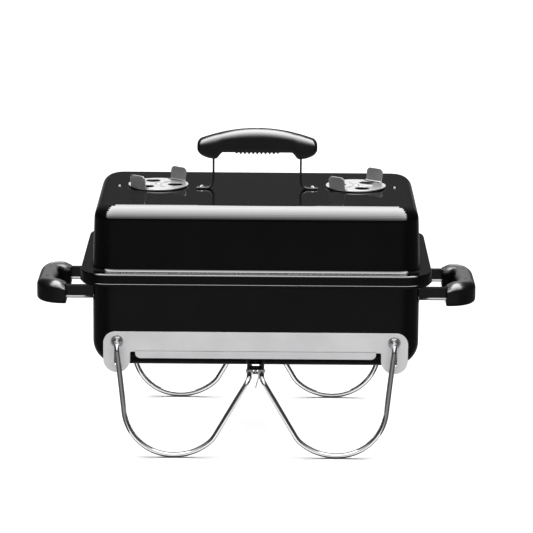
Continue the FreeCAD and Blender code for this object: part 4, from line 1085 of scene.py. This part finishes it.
def make_world():
    """What the grill mirrors: grey a little below its own level, dark level with it and straight below, and
    a dim room above, all of it darker to the sides. The camera sees plain white behind everything."""
    world = bpy.data.worlds.new("studio")
    bpy.context.scene.world = world
    world.use_nodes = True
    nodes, links = world.node_tree.nodes, world.node_tree.links
    place = nodes.new("ShaderNodeTexCoord")
    split = nodes.new("ShaderNodeSeparateXYZ")
    links.new(place.outputs["Generated"], split.inputs["Vector"])
    height = nodes.new("ShaderNodeMapRange")
    height.inputs["From Min"].default_value = -1.0
    height.inputs["From Max"].default_value = 1.0
    links.new(split.outputs["Z"], height.inputs["Value"])
    levels = grey_ramp(nodes, ((0.0, 0.05), (0.15, 0.1), (0.3, 0.3), (0.39, 0.32), (0.44, 0.16), (0.5, 0.06),
                               (0.6, 0.1), (0.7, 0.2), (1.0, 0.5)))
    links.new(height.outputs["Result"], levels.inputs["Fac"])
    aside = nodes.new("ShaderNodeMath")
    aside.operation = "ABSOLUTE"
    links.new(split.outputs["X"], aside.inputs[0])
    sides = grey_ramp(nodes, ((0.0, 1.0), (0.45, 0.9), (0.8, 0.3), (1.0, 0.3)))
    links.new(aside.outputs["Value"], sides.inputs["Fac"])
    room = nodes.new("ShaderNodeMix")
    room.data_type = "RGBA"
    room.blend_type = "MULTIPLY"
    room.inputs["Factor"].default_value = 1.0
    links.new(levels.outputs["Color"], room.inputs["A"])
    links.new(sides.outputs["Color"], room.inputs["B"])
    rays = nodes.new("ShaderNodeLightPath")
    mix = nodes.new("ShaderNodeMix")
    mix.data_type = "RGBA"
    links.new(rays.outputs["Is Camera Ray"], mix.inputs["Factor"])
    links.new(room.outputs["Result"], mix.inputs["A"])
    mix.inputs["B"].default_value = (1, 1, 1, 1)
    links.new(mix.outputs["Result"], nodes["Background"].inputs["Color"])


# The bright band's panel: its brightest radiance, how far back and forward that halves, its half width over
# the grill and the least one, how fast it narrows backwards and widens forwards, and its strips' edges.
BAND_PEAK = 31.0
BAND_FADE_BACK, BAND_FADE_FRONT = 0.9, 1.45
BAND_HALF, BAND_HALF_LEAST = 0.86, 0.35
BAND_NARROWING, BAND_WIDENING = 0.42, 1.1
BAND_X, BAND_HEIGHT = 0.02, 1.6
BAND_EDGES = (2.3, 1.5, 0.9, 0.45, 0.1, -0.3, -0.7, -1.2, -1.9, -3.0, -5.4)


def make_band(receivers):
    """A long panel of strips over the grill that shows as the bright band along the lid's front edge."""
    for n, (back, fore) in enumerate(zip(BAND_EDGES, BAND_EDGES[1:])):
        middle = (back + fore) / 2
        fade = BAND_FADE_BACK if middle > 0 else BAND_FADE_FRONT
        taper = BAND_NARROWING if middle > 0 else BAND_WIDENING
        radiance = BAND_PEAK / (1 + (middle / fade) ** 2)
        wide = 2 * max(BAND_HALF_LEAST, BAND_HALF - taper * middle)
        at, aim = (BAND_X, middle, BAND_HEIGHT), (BAND_X, middle, 0.0)
        strip = softbox(f"band_{n}", wide, back - fore, radiance, at, aim, gloss_only=True)
        strip.light_linking.receiver_collection = receivers


def make_card(name, wide, deep, radiance, at, aim, receivers):
    """A lit card that shows only in what some pieces mirror."""
    card = softbox(name, wide, deep, radiance, at, aim, gloss_only=True)
    card.light_linking.receiver_collection = receivers


def make_floor_light(floor, legs):
    """Even light on the floor that only the legs stand in, so that they alone cast shadows."""
    light = light_up("floor_light", "SUN", 4.75, (0, 0.3, 3), (0, 0, 0), seen=False)
    light.data.angle = math.radians(66)
    light.light_linking.receiver_collection = group("floor_only", [floor])
    light.light_linking.blocker_collection = group("leg_pieces", legs)


def make_lights(floor):
    """The floor's light, soft light on the grill from above and in front, the bright band, and the cards
    that the metal pieces and the side grips mirror."""
    pieces = [obj for obj in bpy.context.scene.objects if obj.type == "MESH" and obj is not floor]
    black_finishes = [FINISHES[slot] for slot in ("enamel", "grip_plastic", "arm_paint")]
    blacks = [obj for obj in pieces if obj.data.materials[0] in black_finishes]
    legs = [bpy.data.objects[f"wire_leg_{side}"] for side in ("left", "right")]
    side_grips = [bpy.data.objects[f"side_grip_{side}"] for side in ("left", "right")]
    leg_plates = [bpy.data.objects[f"leg_plate_{side}"] for side in ("front", "back")]
    grill = group("grill_pieces", pieces)
    black_pieces = group("black_pieces", blacks)
    metals = group("metal_pieces", [obj for obj in pieces if obj not in blacks])
    wires = group("wire_pieces", legs)
    grips = group("grip_pieces", side_grips)
    plates = group("plate_pieces", leg_plates)
    make_floor_light(floor, legs)
    overhead = softbox("overhead", 2.6, 2.6, 1.4, (0, 0.2, 2.4), (0, 0, 0.2), seen=False)
    overhead.light_linking.receiver_collection = grill
    front = softbox("front", 2.4, 1.6, 2.0, (0, -2.6, 0.9), (0, 0, 0.15), seen=False)
    front.light_linking.receiver_collection = grill
    make_band(black_pieces)
    make_card("panel", 1.6, 2.2, 2.5, (0, -0.2, 1.6), (0, -0.1, 0.2), metals)
    floor_level = 0.0005
    for name, deep, y in (("floor_front", 0.134, -0.213), ("floor_back", 0.26, 0.0)):
        make_card(name, 0.36, deep, 0.95, (0, y, floor_level), (0, y, 1), wires)
    make_card("grip_card", 3.0, 1.6, 0.6, (0, 2.4, 1.1), (0, 0, 0.2), grips)
    make_card("floor_bounce", 1.2, 1.1, 0.4, (0, -0.7, floor_level), (0, -0.7, 1), plates)
    make_card("front_card", 3.4, 2.6, 1.1, (0, -3.0, 2.0), (0, 0, 0.2), metals)
    make_card("back_card", 3.0, 1.6, 0.95, (0, 2.4, 1.1), (0, 0, 0.25), metals)


def make_camera():
    """A long lens from the front, looking slightly down, and rolled a little."""
    pitch, roll = math.radians(12.8), math.radians(0.43)
    distance = 3.7173
    target = Vector((0.0122, 0.0, 0.2031))
    data = bpy.data.cameras.new("camera")
    data.sensor_width = 36.0
    data.lens = 205.1
    camera = bpy.data.objects.new("camera", data)
    bpy.context.scene.collection.objects.link(camera)
    camera.location = target + Vector((0, -math.cos(pitch), math.sin(pitch))) * distance
    camera.rotation_euler = (math.pi / 2 - pitch, 0, 0)
    camera.rotation_euler.rotate_axis("Z", roll)
    data.clip_end = 60
    bpy.context.scene.camera = camera


make_bowl()
make_lid()
for side, start in VENT_TURNS:
    make_damper(f"lid_damper_{side}", f"lid_vent_{side}", start, LID_TAB)
    make_damper(f"bowl_damper_{side}", f"bowl_vent_{side}", start, BOWL_TAB, drop=True)
make_lid_grip()
make_lid_strap()
for side, sign in SIDES:
    make_side_bracket(side, sign)
    make_side_grip(side, sign)
    make_leg(side, sign)
for side in ("front", "back"):
    make_leg_bracket(side)
make_cooking_grate()
make_charcoal_grate()
keep_nodes()
floor = make_floor()
make_world()
make_lights(floor)
make_camera()

view_settings = bpy.context.scene.view_settings
view_settings.view_transform = "Standard"
view_settings.look = "None"
